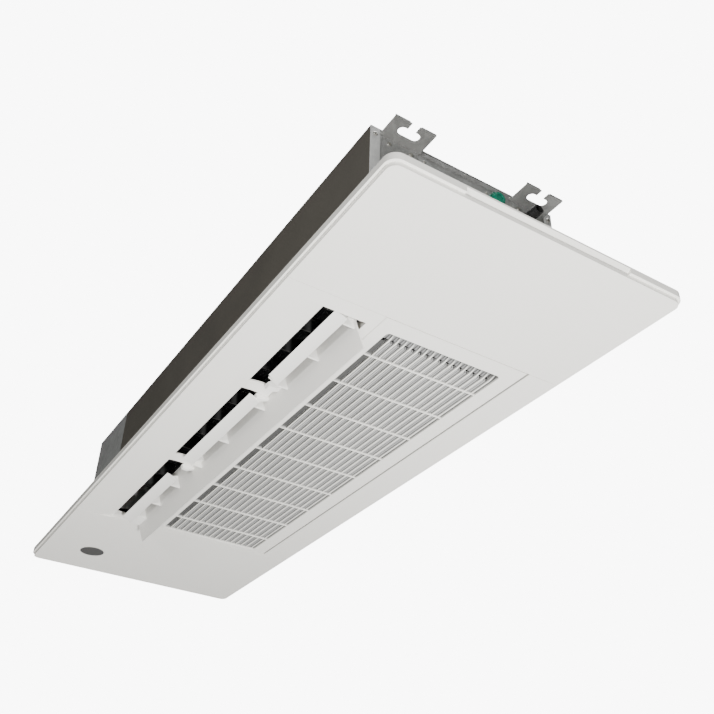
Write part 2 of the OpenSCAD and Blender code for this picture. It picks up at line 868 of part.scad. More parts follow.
module fan_motor() {
    x1 = -path_far - 2 * sheet_t;
    color([0.8, 0.8, 0.8]) difference() {
        union() {
            rod_x(x1 - fan_motor_len, x1 - shaft_in / 2, fan_y, fan_z, motor_d / 2);
            rod_x(x1 - shaft_in / 2, x1, fan_y, fan_z, motor_d / 2 - guide_gap);
            rod_x(x1 - fan_motor_len - guide_gap, x1 - fan_motor_len, fan_y, fan_z, bush_r);
        }
        rod_x(x1 - 2 * shaft_in, x1 + over, fan_y, fan_z, shaft_r + pin_clear);
    }
}

// Heat exchanger: a leaning slab of fins between two end plates
coil_dir = [cos(coil_tilt), sin(coil_tilt)];
function tenth(v) = round(v * 10) / 10;
coil_gas_y = tenth(coil_y + coil_gas * coil_dir[0]);
coil_gas_z = tenth(coil_z + coil_gas * coil_dir[1]);
coil_liq_y = tenth(coil_y + coil_liq * coil_dir[0]);
coil_liq_z = tenth(coil_z + coil_liq * coil_dir[1]);

module in_coil(x) {
    translate([x, coil_y, coil_z]) rotate([coil_tilt, 0, 0]) children();
}

module coil_fins() {
    len = coil_near + coil_far;
    p = len / fin_count;
    color([0.78, 0.8, 0.82]) in_coil(-coil_far) rotate([-90, 0, 0]) linear_extrude(coil_w)
        polygon(concat([for (i = [0:fin_count - 1], s = [0:3])
            [i * p + (s > 1 ? p / 2 : 0), coil_t / 2 - (s == 0 || s == 3 ? fin_groove : 0)]],
            [[len, coil_t / 2 - fin_groove]],
            [for (i = [fin_count - 1:-1:0], s = [3:-1:0])
            [i * p + (s > 1 ? p / 2 : 0), -coil_t / 2 + (s == 0 || s == 3 ? fin_groove : 0)]]));
}

module coil_bends() {
    color(copper) for (i = [0:tube_rows - 1]) in_coil(0)
        translate([0, (i + 0.5) * coil_w / tube_rows, 0])
        for (e = [[coil_near + 2 * sheet_t, 0], [-coil_far - 2 * sheet_t, 180]])
            translate([e[0], 0, 0]) rotate([90, 0, 0]) rotate([0, 0, e[1] - 90])
                rotate_extrude(angle = 180) translate([row_gap / 2, 0]) circle(tube_r);
}

module coil_end_plates() {
    color(zinc) for (x = [coil_near, -coil_far - 2 * sheet_t]) in_coil(x) difference() {
        slab(0, 2 * sheet_t, 0, coil_w, -coil_t / 2, coil_t / 2);
        for (s = [coil_gas, coil_liq]) rod_x(-over, 2 * sheet_t + over, s, 0, tube_r);
    }
}

// Pipe from the coil to the pipe end, with two bends and a flare union
module stub_pipe(y0, y1, z, r, rr, thread, nut) {
    rod_x(coil_near + 2 * sheet_t, pipe_run - rr, y0, z, r);
    translate([pipe_run - rr, y0 - rr, z]) rotate_extrude(angle = 90)
        translate([rr, 0]) circle(r);
    translate([pipe_run, y1 + rr, z]) rotate([-90, 0, 0])
        cylinder(h = y0 - y1 - 2 * rr, r = r);
    translate([pipe_run + rr, y1 + rr, z]) rotate([0, 0, 180]) rotate_extrude(angle = 90)
        translate([rr, 0]) circle(r);
    rod_x(pipe_run + rr, pipe_out - union_len + over, y1, z, r);
    translate([pipe_out - union_len, y1, z]) rotate([0, 90, 0])
        cylinder(h = nut_len, r = nut, $fn = 6);
    rod_x(pipe_out - union_len, pipe_out, y1, z, thread);
}

gas_thread = 9.5;
liquid_thread = 5.55;

module gas_pipe() {
    color(copper) stub_pipe(coil_gas_y, gas_y, coil_gas_z, gas_r, gas_turn,
        gas_thread, gas_nut);
}

module liquid_pipe() {
    color(copper) stub_pipe(coil_liq_y, liquid_y, coil_liq_z, liquid_r, liquid_turn,
        liquid_thread, liquid_nut);
}

module pipe_clamp() {
    m = gas_thread;
    color(zinc) difference() {
        slab(body_near - sheet_t, body_near + sheet_t, liquid_y - m, gas_y + m,
            coil_gas_z - m, coil_liq_z + m);
        rod_x(body_near - 2 * over, body_near + 3 * sheet_t, gas_y, coil_gas_z, gas_r + fit_gap);
        rod_x(body_near - 2 * over, body_near + 3 * sheet_t, liquid_y, coil_liq_z,
            liquid_r + fit_gap);
    }
}

// Drain pump over the sump, with its hose and spigot
pump_z = 42;
pump_h = 46;
cup_r = 12;
cup_z = 16;
wheel_z = 18;
wheel_h = 8;
wheel_r = 9.5;
spindle_r = 2;
spindle_h = 39;
cap_r = 12.6;
spout_z = 58;

module drain_pump() {
    color([0.85, 0.85, 0.86]) translate([pump_x, pump_y, 0]) difference() {
        union() {
            translate([0, 0, cup_z]) cylinder(h = pump_z - cup_z + over, r = cup_r);
            translate([0, 0, pump_z]) cylinder(h = pump_h, r = pump_r);
            translate([0, 0, pump_z + pump_h]) cylinder(h = pump_h / 3, r = cap_r);
            slab(-pump_r, pump_r, -pan_ret - pan_wall + over, pan_ret + pan_wall - over,
                pan_rim, pan_rim + 2 * sheet_t);
            translate([0, 0, spout_z]) rotate([-90, 0, 0])
                cylinder(h = pump_r + flange, r = hose_r - 2 * sheet_t);
        }
        translate([0, 0, cup_z - over]) cylinder(h = wheel_h + 4 * over, r = wheel_r + over);
        translate([0, 0, cup_z]) cylinder(h = pump_z, r = spindle_r + pin_clear);
    }
}

module pump_impeller() {
    color(white) translate([pump_x, pump_y, 0]) {
        translate([0, 0, wheel_z - over]) cylinder(h = spindle_h, r = spindle_r);
        translate([0, 0, wheel_z]) cylinder(h = wheel_h, r = spindle_r * 2);
        for (a = [0:60:300]) rotate([0, 0, a])
            slab(spindle_r, wheel_r, -spindle_r / 4, spindle_r / 4, wheel_z, wheel_z + wheel_h);
    }
}

module drain_hose() {
    rr = 2 * hose_r;
    y0 = pump_y + pump_r + over;
    color([0.35, 0.36, 0.38]) difference() {
        union() {
            translate([pump_x, y0, spout_z]) rotate([-90, 0, 0])
                cylinder(h = drain_y - rr - y0, r = hose_r);
            translate([pump_x, drain_y - rr, spout_z + rr]) rotate([0, 90, 0])
                rotate_extrude(angle = 90) translate([rr, 0]) circle(hose_r);
            translate([pump_x, drain_y, spout_z + rr])
                cylinder(h = drain_z - spout_z - 2 * rr, r = hose_r);
            translate([pump_x + rr, drain_y, drain_z - rr]) rotate([90, 0, 0])
                rotate([0, 0, 90]) rotate_extrude(angle = 90) translate([rr, 0]) circle(hose_r);
            rod_x(pump_x + rr, body_near - 2 * flange, drain_y, drain_z, hose_r);
        }
        translate([pump_x, y0 - over, spout_z]) rotate([-90, 0, 0])
            cylinder(h = flange + over, r = hose_r - 2 * sheet_t + fit_gap / 3);
    }
}

module drain_spigot() {
    color(black) difference() {
        union() {
            rod_x(body_near - 2 * flange, drain_out, drain_y, drain_z, drain_r);
            rod_x(body_near - sheet_t, body_near + sheet_t, drain_y, drain_z, drain_collar);
        }
        rod_x(body_near - flange, drain_out + over, drain_y, drain_z, drain_bore);
    }
}

module test_plug() {
    color(green) {
        rod_x(body_near - flange / 2, body_near - 2 * sheet_t + over, plug_y, plug_z, plug_r / 2);
        rod_x(body_near - 2 * sheet_t, body_near + sheet_t, plug_y, plug_z, plug_r / 2);
        rod_x(body_near - sheet_t, body_near + plug_rim, plug_y, plug_z, plug_r);
        rod_x(body_near + plug_rim, body_near + plug_out, plug_y, plug_z, plug_cap);
    }
}

// Electric box at the far end, opened from below
box_t = 1.2;

module electric_box() {
    t = box_t;
    color(zinc) difference() {
        slab(box_x0, box_x1, box_y0, box_y1, box_z, body_top - sheet_t);
        slab(box_x0 + t, box_x1 - t, box_y0 + t, box_y1 - t, box_z - over,
            body_top - sheet_t - t);
    }
}

module electric_cover() {
    color(zinc) {
        slab(box_x0, box_x1, box_y0, box_y1, box_z - sheet_t, box_z);
        for (x = [box_x0 + flange, box_x1 - flange])
            translate([x, (box_y0 + box_y1) / 2, box_z - sheet_t - head_t])
                cylinder(h = head_t, r = head_r);
    }
}

comp_h = 16;
comp_low = 11;
comp_count = 4;
comp_pitch = (box_x1 - box_x0 - 2 * flange) / comp_count;

module control_board() {
    t = box_t;
    z = body_top - sheet_t - t - flange;
    color(green) {
        slab(box_x0 + t, box_x1 - t, box_y0 + t, box_y1 - t, z, z + board_t);
        for (i = [0:comp_count - 1]) translate([box_x0 + flange + i * comp_pitch, 0, 0])
            slab(0, flange, box_y0 + flange, box_y0 + 3 * flange, z - comp_h, z);
        slab(box_x0 + flange, box_x1 - flange, box_y1 - 3 * flange, box_y1 - flange,
            z - comp_low, z);
    }
}

// Grille door
first_gap_share = 1.1;
slat_pitch = field_wid / (slat_count + first_gap_share - 1 / 2);
edge_r = 5;
bend_rise = door_top - slat_top;
bend_x = field_x1 - slat_bend;
bend_r = (slat_bend * slat_bend + bend_rise * bend_rise) / (2 * bend_rise);
bend_turn = asin(slat_bend / bend_r);

module slat(i) {
    y = field_y0 + slat_pitch * (i + first_gap_share);
    lean = slat_h * tan(slat_lean);
    along_x(field_x0 - over, bend_x)
        polygon([[y - slat_t / 2, face_z + door_chamfer], [y, face_z + door_chamfer / 2],
            [y + slat_t / 2, face_z + door_chamfer], [y + slat_t / 2 + lean, slat_top],
            [y - slat_t / 2 + lean, slat_top]]);
    translate([0, y + slat_t / 2 + lean / 2, 0]) rotate([90, 0, 0]) linear_extrude(slat_t)
        slat_end();
}

// Side view of a slat's near end, which bends up into the door
module slat_end() {
    z = face_z + door_chamfer;
    low = arc([bend_x, z + bend_r], bend_r, -90, -90 + bend_turn, bend_steps);
    top = [for (i = [bend_steps:-1:0]) low[i] + [0, slat_h]];
    polygon(concat([[bend_x - over, z]], low, [[field_x1 + over, z + bend_rise],
        [field_x1 + over, door_top]], top, [[bend_x - over, slat_top]]));
}

module field_rib(i) {
    x = (field_x0 + field_x1) / 2 + (i - (rib_count - 1) / 2) * rib_pitch;
    slab(x - slat_t / 2, x + slat_t / 2, field_y0 - over, field_y0 + field_wid + over,
        face_z + door_chamfer / 2, slat_top);
}

module door_edge(y0, y1) {
    polygon([[y0, face_z + door_chamfer], [y0 + door_chamfer, face_z],
        [y1 - door_chamfer, face_z], [y1, face_z + door_chamfer], [y1, face_in], [y0, face_in]]);
}

module intake_grille() {
    fx0 = field_x0;
    fx1 = field_x1;
    fy1 = field_y0 + field_wid;
    color(white) difference() {
        union() {
            difference() {
                along_x(d_x0, d_x1) door_edge(d_y0, d_y1);
                translate([0, 0, face_z - over]) linear_extrude(skin + 2 * over)
                    round_rect(fx0, fx1, field_y0, fy1, edge_r);
            }
            difference() {
                slab(d_x0, d_x1, d_y0, d_y1, face_in - over / 2, door_top);
                slab(d_x0 + skin, d_x1 - skin, d_y0 + skin, d_y1 - skin, face_z, 0);
            }
            difference() {
                slab(fx0 - slat_t, fx1 + slat_t, field_y0 - slat_t, fy1 + slat_t, face_in - over / 2,
                    slat_top);
                slab(fx0, fx1, field_y0, fy1, face_z, 0);
            }
            slab(fx1, fx1 + slat_t, field_y0 - slat_t, fy1 + slat_t, face_in - over / 2, door_top);
            for (i = [0:slat_count - 1]) slat(i);
            for (i = [0:rib_count - 1]) field_rib(i);
            slab(fx0 - over, fx0 + slat_t, field_y0 - over, fy1 + over, face_z + door_chamfer / 2,
                slat_top);
            for (x = hinge_x, s = [-1, 1]) door_ear(x, s);
            for (x = catch_x) slab(x - catch_w / 2 + fit_gap, x + catch_w / 2 - fit_gap,
                catch_y - catch_t / 2, catch_y + catch_t / 2, face_in - over / 2, -2 * catch_t / 3);
        }
        for (x = hinge_x) slab(x - lug_w / 2 - ear_gap, x + lug_w / 2 + ear_gap,
            hinge_y - lug_r - over, d_y1 + over, face_in, 0);
        for (x = hinge_x) rod_x(x - lug_w - ear_w, x + lug_w + ear_w, hinge_y, hinge_z,
            hinge_r + pin_clear);
    }
}

module door_ear(x, s) {
    x0 = x + s * (lug_w / 2 + ear_gap + ear_w / 2) - ear_w / 2;
    along_x(x0, x0 + ear_w) {
        translate([hinge_y, hinge_z]) circle(lug_r);
        translate([hinge_y - lug_r, face_in - over / 2])
            square([2 * lug_r, hinge_z - face_in + over / 2]);
    }
}

module grille_hinge_pins() {
    l = lug_w / 2 + ear_gap + ear_w;
    color(zinc) for (x = hinge_x) rod_x(x - l, x + l, hinge_y, hinge_z, hinge_r);
}

// Filter: a framed net that lies on the slats inside the door
net_t = 0.8;
net_bar = 2;
net_cols = 12;
net_rows = 3;
net_frame_t = 3.6;
net_bar_t = 2.8;
filter_in = 10;
filter_near_in = 22;

module air_filter() {
    x0 = field_x0;
    x1 = field_x1 - filter_near_in;
    y0 = field_y0 + filter_in;
    y1 = field_y0 + field_wid;
    z = slat_top + fit_gap / 10;
    color([0.72, 0.73, 0.72]) {
        difference() {
            slab(x0, x1, y0, y1, z, z + net_frame_t);
            slab(x0 + 3 * net_bar, x1 - 3 * net_bar, y0 + 3 * net_bar, y1 - 3 * net_bar,
                z - over, 0);
        }
        slab(x0 + net_bar, x1 - net_bar, y0 + net_bar, y1 - net_bar, z, z + net_t);
        for (i = [1:net_cols]) slab(x0 + i * (x1 - x0) / (net_cols + 1) - net_bar / 2,
            x0 + i * (x1 - x0) / (net_cols + 1) + net_bar / 2, y0 + net_bar, y1 - net_bar,
            z, z + net_bar_t);
        for (i = [1:net_rows]) slab(x0 + net_bar, x1 - net_bar,
            y0 + i * (y1 - y0) / (net_rows + 1) - net_bar / 2,
            y0 + i * (y1 - y0) / (net_rows + 1) + net_bar / 2, z, z + net_bar_t);
    }
}

// Louver, drawn closed about its hinge line and then turned open
module at_louver() {
    translate([0, -louver_y, -louver_z]) rotate([louver_open, 0, 0]) children();
}

lv_steps = 8;
lv_grow_share = 2.2;
lv_face = bowed(lv_tip, lv_heel, lv_bow, lv_steps);
lv_back = [for (i = [lv_steps:-1:0]) lv_face[i]
    + [0, lv_tip_t + (lv_root_t - lv_tip_t) * min(1, lv_grow_share * i / lv_steps)]];

module louver_plate() {
    color(white) at_louver() {
        along_x(-louver_far, louver_near) polygon(concat(lv_face, lv_back));
        for (x = [-louver_far, louver_near - skin]) along_x(x, x + skin) {
            circle(end_pin_r + lv_tip_t);
            polygon([[-gusset_heel, lv_tip[1]], [gusset_heel, lv_heel[1] + over],
                [end_pin_r + over, 0], [-end_pin_r - over, 0]]);
        }
        rod_x(louver_near - over, slot_near + skin + arm_eye - fit_gap, 0, 0, end_pin_r);
        rod_x(-slot_far - skin / 2 + fit_gap, -louver_far + over, 0, 0, end_pin_r);
    }
}

// Guide blade with its gussets and the middle pivot pins
module blade_section() {
    low = bowed(blade_lo, blade_hi, -over, lv_steps);
    polygon(concat(low, [for (i = [lv_steps:-1:0]) low[i] + blade_cover]));
}

// One length of the blade, with its far end cut on the slant
module blade_span(x0, x1, skew) {
    y0 = blade_lo[0] - 2 * blade_t;
    y1 = blade_hi[0] + blade_t;
    intersection() {
        along_x(x0, x1) blade_section();
        linear_extrude(blade_hi[1] + 2 * blade_t)
            polygon([[x0, y0], [x1, y0], [x1, y1], [x0 + skew, y1]]);
    }
}

module gusset() {
    polygon([[gusset_foot, seat_at(gusset_foot)], [blade_lo[0] - over, blade_lo[1]],
        blade_lo + [0, over / 2], blade_hi + [-over, -blade_t], [gusset_heel, end_pin_r],
        [gusset_heel, seat_at(gusset_heel)]]);
}

// Height of the plate's inner face over a place on it
function seat_at(y) = let(t = (y - lv_tip[0]) / (lv_heel[0] - lv_tip[0]))
    lv_tip[1] + (lv_heel[1] - lv_tip[1]) * t + lv_bow * 4 * t * (1 - t) + lv_root_t + rib_seat;

module blade_ear(x0, x1) {
    along_x(x0, x1) polygon([[-gusset_heel, seat_at(-gusset_heel)], [-gusset_heel, ear_top / 2],
        [-arm_eye, ear_top], [arm_eye, ear_top], [gusset_heel, seat_at(gusset_heel)]]);
}

module guide_blade() {
    e0 = arm_w / 2 + ear_gap;
    color(white) at_louver() {
        for (s = blade_spans) blade_span(s[0], s[1], s[2]);
        for (x = gusset_x) along_x(x - gusset_t / 2, x + gusset_t / 2) gusset();
        along_x(blade_spans[0][0], blade_spans[0][0] + far_block) gusset();
        for (x = arm_x) {
            blade_ear(x - e0 - ear_far, x - e0);
            blade_ear(x + e0, x + e0 + ear_near);
            rod_x(x - e0 - ear_far, x + e0 + ear_near, 0, 0, pivot_r);
        }
    }
}

// Swing vanes in the outlet, their carrier and their link
function vane_x(i) = vane_first - vane_pitch * i;

module vane(i) {
    color([0.2, 0.2, 0.2]) translate([vane_x(i), 0, 0]) {
        along_x(-vane_t / 2, vane_t / 2) polygon([[-vane_y1, vane_z0], [-vane_y1, vane_z1],
            [-vane_y0 + vane_eye_h, vane_z1], [-vane_y0, vane_z1 - vane_eye_h],
            [-vane_y0 + vane_eye_h, vane_z0]]);
        translate([0, -vane_y1, vane_eye_z - over / 2])
            cylinder(h = vane_z1 - vane_eye_z + over / 2, r = vane_pin);
        translate([0, -link_y, vane_z1 - over]) cylinder(h = over + 2 * link_t, r = link_pin);
    }
}

module vane_01() { vane(0); }
module vane_02() { vane(1); }
module vane_03() { vane(2); }
module vane_04() { vane(3); }
module vane_05() { vane(4); }
module vane_06() { vane(5); }
module vane_07() { vane(6); }
module vane_08() { vane(7); }
module vane_09() { vane(8); }
module vane_10() { vane(9); }
module vane_11() { vane(10); }
module vane_12() { vane(11); }

module vane_carrier() {
    eye_r = 2 * vane_pin + fit_gap;
    color(black) difference() {
        union() {
            slab(vane_x(vane_count - 1) - flange, vane_x(0) + flange, -vane_y1 + eye_r - over,
                -slot_in + over, vane_eye_z, vane_eye_z + vane_eye_h);
            for (i = [0:vane_count - 1]) translate([vane_x(i), -vane_y1, vane_eye_z])
                cylinder(h = vane_eye_h, r = eye_r);
        }
        for (i = [0:vane_count - 1]) translate([vane_x(i), -vane_y1, vane_eye_z - over])
            cylinder(h = vane_eye_h + 2 * over, r = vane_pin + pin_clear);
    }
}

module vane_link() {
    z = vane_z1 + fit_gap;
    color(black) difference() {
        slab(vane_x(vane_count - 1) - flange, vane_x(0) + flange, -link_y - link_w / 2,
            -link_y + link_w / 2, z, z + link_t);
        for (i = [0:vane_count - 1]) slab(vane_x(i) - link_slot / 2, vane_x(i) + link_slot / 2,
            -link_y - link_slot_l / 2, -link_y + link_slot_l / 2, z - over, z + link_t + over);
    }
}

panel_frame();
near_end_cover();
far_end_cover();
receiver_window();
receiver_board();
louver_supports();
louver_motor();
catch_sockets();
panel_seal();
panel_bolts();
vane_carrier();
casing_top();
outlet_side_plate();
return_side_plate();
pipe_end_plate();
far_end_plate();
hanger_near_outlet();
hanger_near_return();
hanger_far_outlet();
hanger_far_return();
casing_screws();
scroll_housing();
drain_pan();
fan_motor();
motor_bracket();
fan_bearing();
coil_fins();
coil_bends();
coil_end_plates();
gas_pipe();
liquid_pipe();
pipe_clamp();
drain_pump();
drain_hose();
drain_spigot();
test_plug();
electric_box();
electric_cover();
control_board();
intake_grille();
air_filter();
grille_hinge_pins();
louver_plate();
guide_blade();
fan_rotor();
fan_shaft();
pump_impeller();
vane_link();
vane_01();
vane_02();
vane_03();
vane_04();
vane_05();
vane_06();
vane_07();
vane_08();
vane_09();
vane_10();
vane_11();
vane_12();
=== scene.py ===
import json
import math

import bpy
from mathutils import Matrix, Vector


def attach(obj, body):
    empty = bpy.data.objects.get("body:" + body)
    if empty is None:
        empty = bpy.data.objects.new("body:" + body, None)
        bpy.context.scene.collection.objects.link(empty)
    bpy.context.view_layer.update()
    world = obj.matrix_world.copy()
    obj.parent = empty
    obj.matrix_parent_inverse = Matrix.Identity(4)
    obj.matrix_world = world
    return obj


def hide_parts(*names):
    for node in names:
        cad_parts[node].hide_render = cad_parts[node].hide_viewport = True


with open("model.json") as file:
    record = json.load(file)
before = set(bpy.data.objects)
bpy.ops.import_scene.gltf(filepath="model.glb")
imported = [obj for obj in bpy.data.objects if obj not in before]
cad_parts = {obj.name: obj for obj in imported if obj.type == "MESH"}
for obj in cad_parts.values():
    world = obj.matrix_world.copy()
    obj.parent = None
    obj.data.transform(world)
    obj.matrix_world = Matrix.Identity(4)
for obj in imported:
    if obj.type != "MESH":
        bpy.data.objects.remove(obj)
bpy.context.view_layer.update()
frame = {"nodes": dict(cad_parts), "record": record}

MM = 0.001
record = frame["record"]
body_of_node = {n: b for b, members in record["behaviour"]["bodies"].items() for n in members}
slot_of_node = {s["node"]: s["material_slot"] for s in record["subparts"]}


def box_round(points):
    """Low and high corners of the box round some points."""
    return (Vector([min(p[i] for p in points) for i in range(3)]),
            Vector([max(p[i] for p in points) for i in range(3)]))


def node_box(node):
    """Low and high corners of a CAD node."""
    return box_round([vertex.co for vertex in frame["nodes"][node].data.vertices])


# Near faces of the pipe end plate and of the casing
SHEET_FACE = node_box("pipe_end_plate")[1].x
CASING_END = node_box("casing_top")[1].x


# Camera at the photograph's place, with its fitted angles in degrees and its lens in millimetres
CAMERA_AZIMUTH = 58.88
CAMERA_ELEVATION = -34.15
CAMERA_ROLL = 1.87
CAMERA_TARGET = Vector((284.8, -42.4, 0.0)) * MM
CAMERA_DISTANCE = 1119.5 * MM
CAMERA_LENS = 46.39
CAMERA_CLIP = 10.0 * MM


def make_camera():
    az, el, roll = (math.radians(a) for a in (CAMERA_AZIMUTH, CAMERA_ELEVATION, CAMERA_ROLL))
    back = Vector((math.sin(az) * math.cos(el), -math.cos(az) * math.cos(el), math.sin(el)))
    right = (-back).cross(Vector((0, 0, 1))).normalized()
    up = right.cross(-back)
    turned_right = right * math.cos(roll) + up * math.sin(roll)
    turned_up = up * math.cos(roll) - right * math.sin(roll)
    lens = bpy.data.cameras.new("photo_camera")
    lens.lens = CAMERA_LENS
    lens.clip_start = CAMERA_CLIP
    camera = bpy.data.objects.new("photo_camera", lens)
    place = Matrix((turned_right, turned_up, back)).transposed().to_4x4()
    place.translation = CAMERA_TARGET + back * CAMERA_DISTANCE
    camera.matrix_world = place
    bpy.context.scene.collection.objects.link(camera)
    bpy.context.scene.camera = camera


# Floor and backdrop, in metres
FLOOR_DROP = 1.6
FLOOR_HALF = 9.0
FLOOR_COLOR = (0.86, 0.86, 0.85, 1)
FLOOR_ROUGHNESS = 0.8
BACKDROP_WHITE = 9.0
AMBIENT = 0.07

# Place, target and width of each soft light in metres, and its power in watts
LIGHTS = {
    "key_below": ((1.15, -0.02, -1.35), (0.25, 0.0, 0.0), 0.2, 52),
    "fill_front": ((1.2, -1.35, -0.43), (0.1, 0.0, 0.0), 0.25, 17),
    "top_soft": ((0.6, 0.4, 5.0), (0.0, 0.0, 0.1), 4.0, 420),
}


def make_floor():
    bpy.ops.mesh.primitive_plane_add(size=2 * FLOOR_HALF, location=(0, 0, -FLOOR_DROP))
    floor = bpy.context.object
    floor.name = "studio_floor"
    material = start_material("studio_floor", Base_Color=FLOOR_COLOR, Roughness=FLOOR_ROUGHNESS)[0]
    floor.data.materials.append(material)


def make_world():
    """A white backdrop that the camera sees, and a weak even light for everything else."""
    world = bpy.data.worlds.new("studio")
    bpy.context.scene.world = world
    world.use_nodes = True
    tree = world.node_tree
    tree.nodes.clear()
    out = add_node(tree, "ShaderNodeOutputWorld")
    mix = add_node(tree, "ShaderNodeMixShader")
    path = add_node(tree, "ShaderNodeLightPath")
    lit = add_node(tree, "ShaderNodeBackground", Color=(1, 1, 1, 1), Strength=AMBIENT)
    seen = add_node(tree, "ShaderNodeBackground", Color=(1, 1, 1, 1), Strength=BACKDROP_WHITE)
    tree.links.new(path.outputs["Is Camera Ray"], mix.inputs["Fac"])
    tree.links.new(lit.outputs[0], mix.inputs[1])
    tree.links.new(seen.outputs[0], mix.inputs[2])
    tree.links.new(mix.outputs[0], out.inputs["Surface"])


def make_lights():
    for name, (place, target, width, power) in LIGHTS.items():
        data = bpy.data.lights.new(name, "AREA")
        data.shape = "DISK"
        data.size = width
        data.energy = power
        lamp = bpy.data.objects.new(name, data)
        lamp.location = place
        aim = Vector(target) - Vector(place)
        lamp.rotation_mode = "QUATERNION"
        lamp.rotation_quaternion = aim.to_track_quat("-Z", "Y")
        bpy.context.scene.collection.objects.link(lamp)


# Help with nodes
def add_node(tree, kind, **values):
    """A node with values on its sockets, or on the node itself where it has no such socket."""
    node = tree.nodes.new(kind)
    for key, value in values.items():
        socket = key.replace("_", " ")
        if socket in node.inputs:
            node.inputs[socket].default_value = value
        else:
            setattr(node, key, value)
    return node


def math_node(tree, operation, second=None):
    """A maths node, with its second value where that is constant."""
    node = add_node(tree, "ShaderNodeMath", operation=operation)
    if second is not None:
        node.inputs[1].default_value = second
    return node


def color_mix(tree, first=(0.5, 0.5, 0.5), second=(0.5, 0.5, 0.5)):
    """A colour mix, with the colours that nothing is linked to."""
    return add_node(tree, "ShaderNodeMix", data_type="RGBA", A=(*first, 1), B=(*second, 1))


def tones(color, shade):
    """The two colour sockets of a shared effect."""
    return {"Color": (*color, 1), "Shade": (*shade, 1)}


materials = {}


def start_material(name, **sockets):
    """A material with constant values on its shader, and the object's own coordinates."""
    material = bpy.data.materials.new(name)
    materials[name] = material
    material.use_nodes = True
    tree = material.node_tree
    shader = tree.nodes["Principled BSDF"]
    for key, value in sockets.items():
        shader.inputs[key.replace("_", " ")].default_value = value
    where = add_node(tree, "ShaderNodeTexCoord")
    return material, tree, shader, where


def place_group(tree, group, where, **values):
    """A shared effect placed in a material with its own values."""
    node = add_node(tree, "ShaderNodeGroup", node_tree=group)
    for key, value in values.items():
        node.inputs[key.replace("_", " ")].default_value = value
    tree.links.new(where.outputs["Object"], node.inputs["Place"])
    return node


def bump(tree, shader, height, distance, strength=1.0):
    node = add_node(tree, "ShaderNodeBump", Distance=distance, Strength=strength)
    tree.links.new(height, node.inputs["Height"])
    tree.links.new(node.outputs["Normal"], shader.inputs["Normal"])


def wave_scale(pitch):
    """Scale of the wave texture for a given pitch in metres."""
    return math.tau / (20 * pitch)


# Effects shared by several finishes
def new_group(name, takes, gives):
    tree = bpy.data.node_groups.new(name, "ShaderNodeTree")
    for label, kind, value in takes:
        socket = tree.interface.new_socket(label, in_out="INPUT", socket_type=kind)
        if value is not None:
            socket.default_value = value
    for label, kind in gives:
        tree.interface.new_socket(label, in_out="OUTPUT", socket_type=kind)
    return tree, tree.nodes.new("NodeGroupInput"), tree.nodes.new("NodeGroupOutput")


def moulded_grain_group():
    """Fine moulded texture and a slow drift of tone over the surface."""
    tree, given, out = new_group("moulded_grain", [
        ("Place", "NodeSocketVector", None), ("Color", "NodeSocketColor", (0.8, 0.8, 0.8, 1)),
        ("Shade", "NodeSocketColor", (0.7, 0.7, 0.7, 1)), ("Grain Scale", "NodeSocketFloat", 1400.0),
        ("Drift Scale", "NodeSocketFloat", 6.0), ("Roughness", "NodeSocketFloat", 0.45),
        ("Roughness Spread", "NodeSocketFloat", 0.06)],
        [("Color", "NodeSocketColor"), ("Roughness", "NodeSocketFloat"), ("Height", "NodeSocketFloat")])
    grain = add_node(tree, "ShaderNodeTexNoise", Detail=2.0)
    drift = add_node(tree, "ShaderNodeTexNoise", Detail=3.0)
    mix = color_mix(tree)
    spread = math_node(tree, "MULTIPLY_ADD")
    link = tree.links.new
    link(given.outputs["Place"], grain.inputs["Vector"])
    link(given.outputs["Place"], drift.inputs["Vector"])
    link(given.outputs["Grain Scale"], grain.inputs["Scale"])
    link(given.outputs["Drift Scale"], drift.inputs["Scale"])
    link(drift.outputs["Fac"], mix.inputs["Factor"])
    link(given.outputs["Color"], mix.inputs["A"])
    link(given.outputs["Shade"], mix.inputs["B"])
    link(mix.outputs["Result"], out.inputs["Color"])
    link(drift.outputs["Fac"], spread.inputs[0])
    link(given.outputs["Roughness Spread"], spread.inputs[1])
    link(given.outputs["Roughness"], spread.inputs[2])
    link(spread.outputs[0], out.inputs["Roughness"])
    link(grain.outputs["Fac"], out.inputs["Height"])
    return tree


def spangle_group():
    """Zinc spangle: cells of slightly different grey and gloss."""
    tree, given, out = new_group("zinc_spangle", [
        ("Place", "NodeSocketVector", None), ("Color", "NodeSocketColor", (0.6, 0.6, 0.6, 1)),
        ("Shade", "NodeSocketColor", (0.45, 0.45, 0.45, 1)), ("Cell Scale", "NodeSocketFloat", 130.0)],
        [("Color", "NodeSocketColor"), ("Roughness", "NodeSocketFloat"), ("Height", "NodeSocketFloat")])
    cells = add_node(tree, "ShaderNodeTexVoronoi")
    drift = add_node(tree, "ShaderNodeTexNoise", Scale=22.0, Detail=5.0)
    grey = add_node(tree, "ShaderNodeSeparateColor")
    both = math_node(tree, "MULTIPLY")
    mix = color_mix(tree)
    gloss = add_node(tree, "ShaderNodeMapRange", To_Min=0.3, To_Max=0.52)
    link = tree.links.new
    link(given.outputs["Place"], cells.inputs["Vector"])
    link(given.outputs["Cell Scale"], cells.inputs["Scale"])
    link(given.outputs["Place"], drift.inputs["Vector"])
    link(cells.outputs["Color"], grey.inputs["Color"])
    link(grey.outputs["Red"], both.inputs[0])
    link(drift.outputs["Fac"], both.inputs[1])
    link(both.outputs[0], mix.inputs["Factor"])
    link(given.outputs["Color"], mix.inputs["A"])
    link(given.outputs["Shade"], mix.inputs["B"])
    link(mix.outputs["Result"], out.inputs["Color"])
    link(grey.outputs["Green"], gloss.inputs["Value"])
    link(gloss.outputs["Result"], out.inputs["Roughness"])
    link(drift.outputs["Fac"], out.inputs["Height"])
    return tree


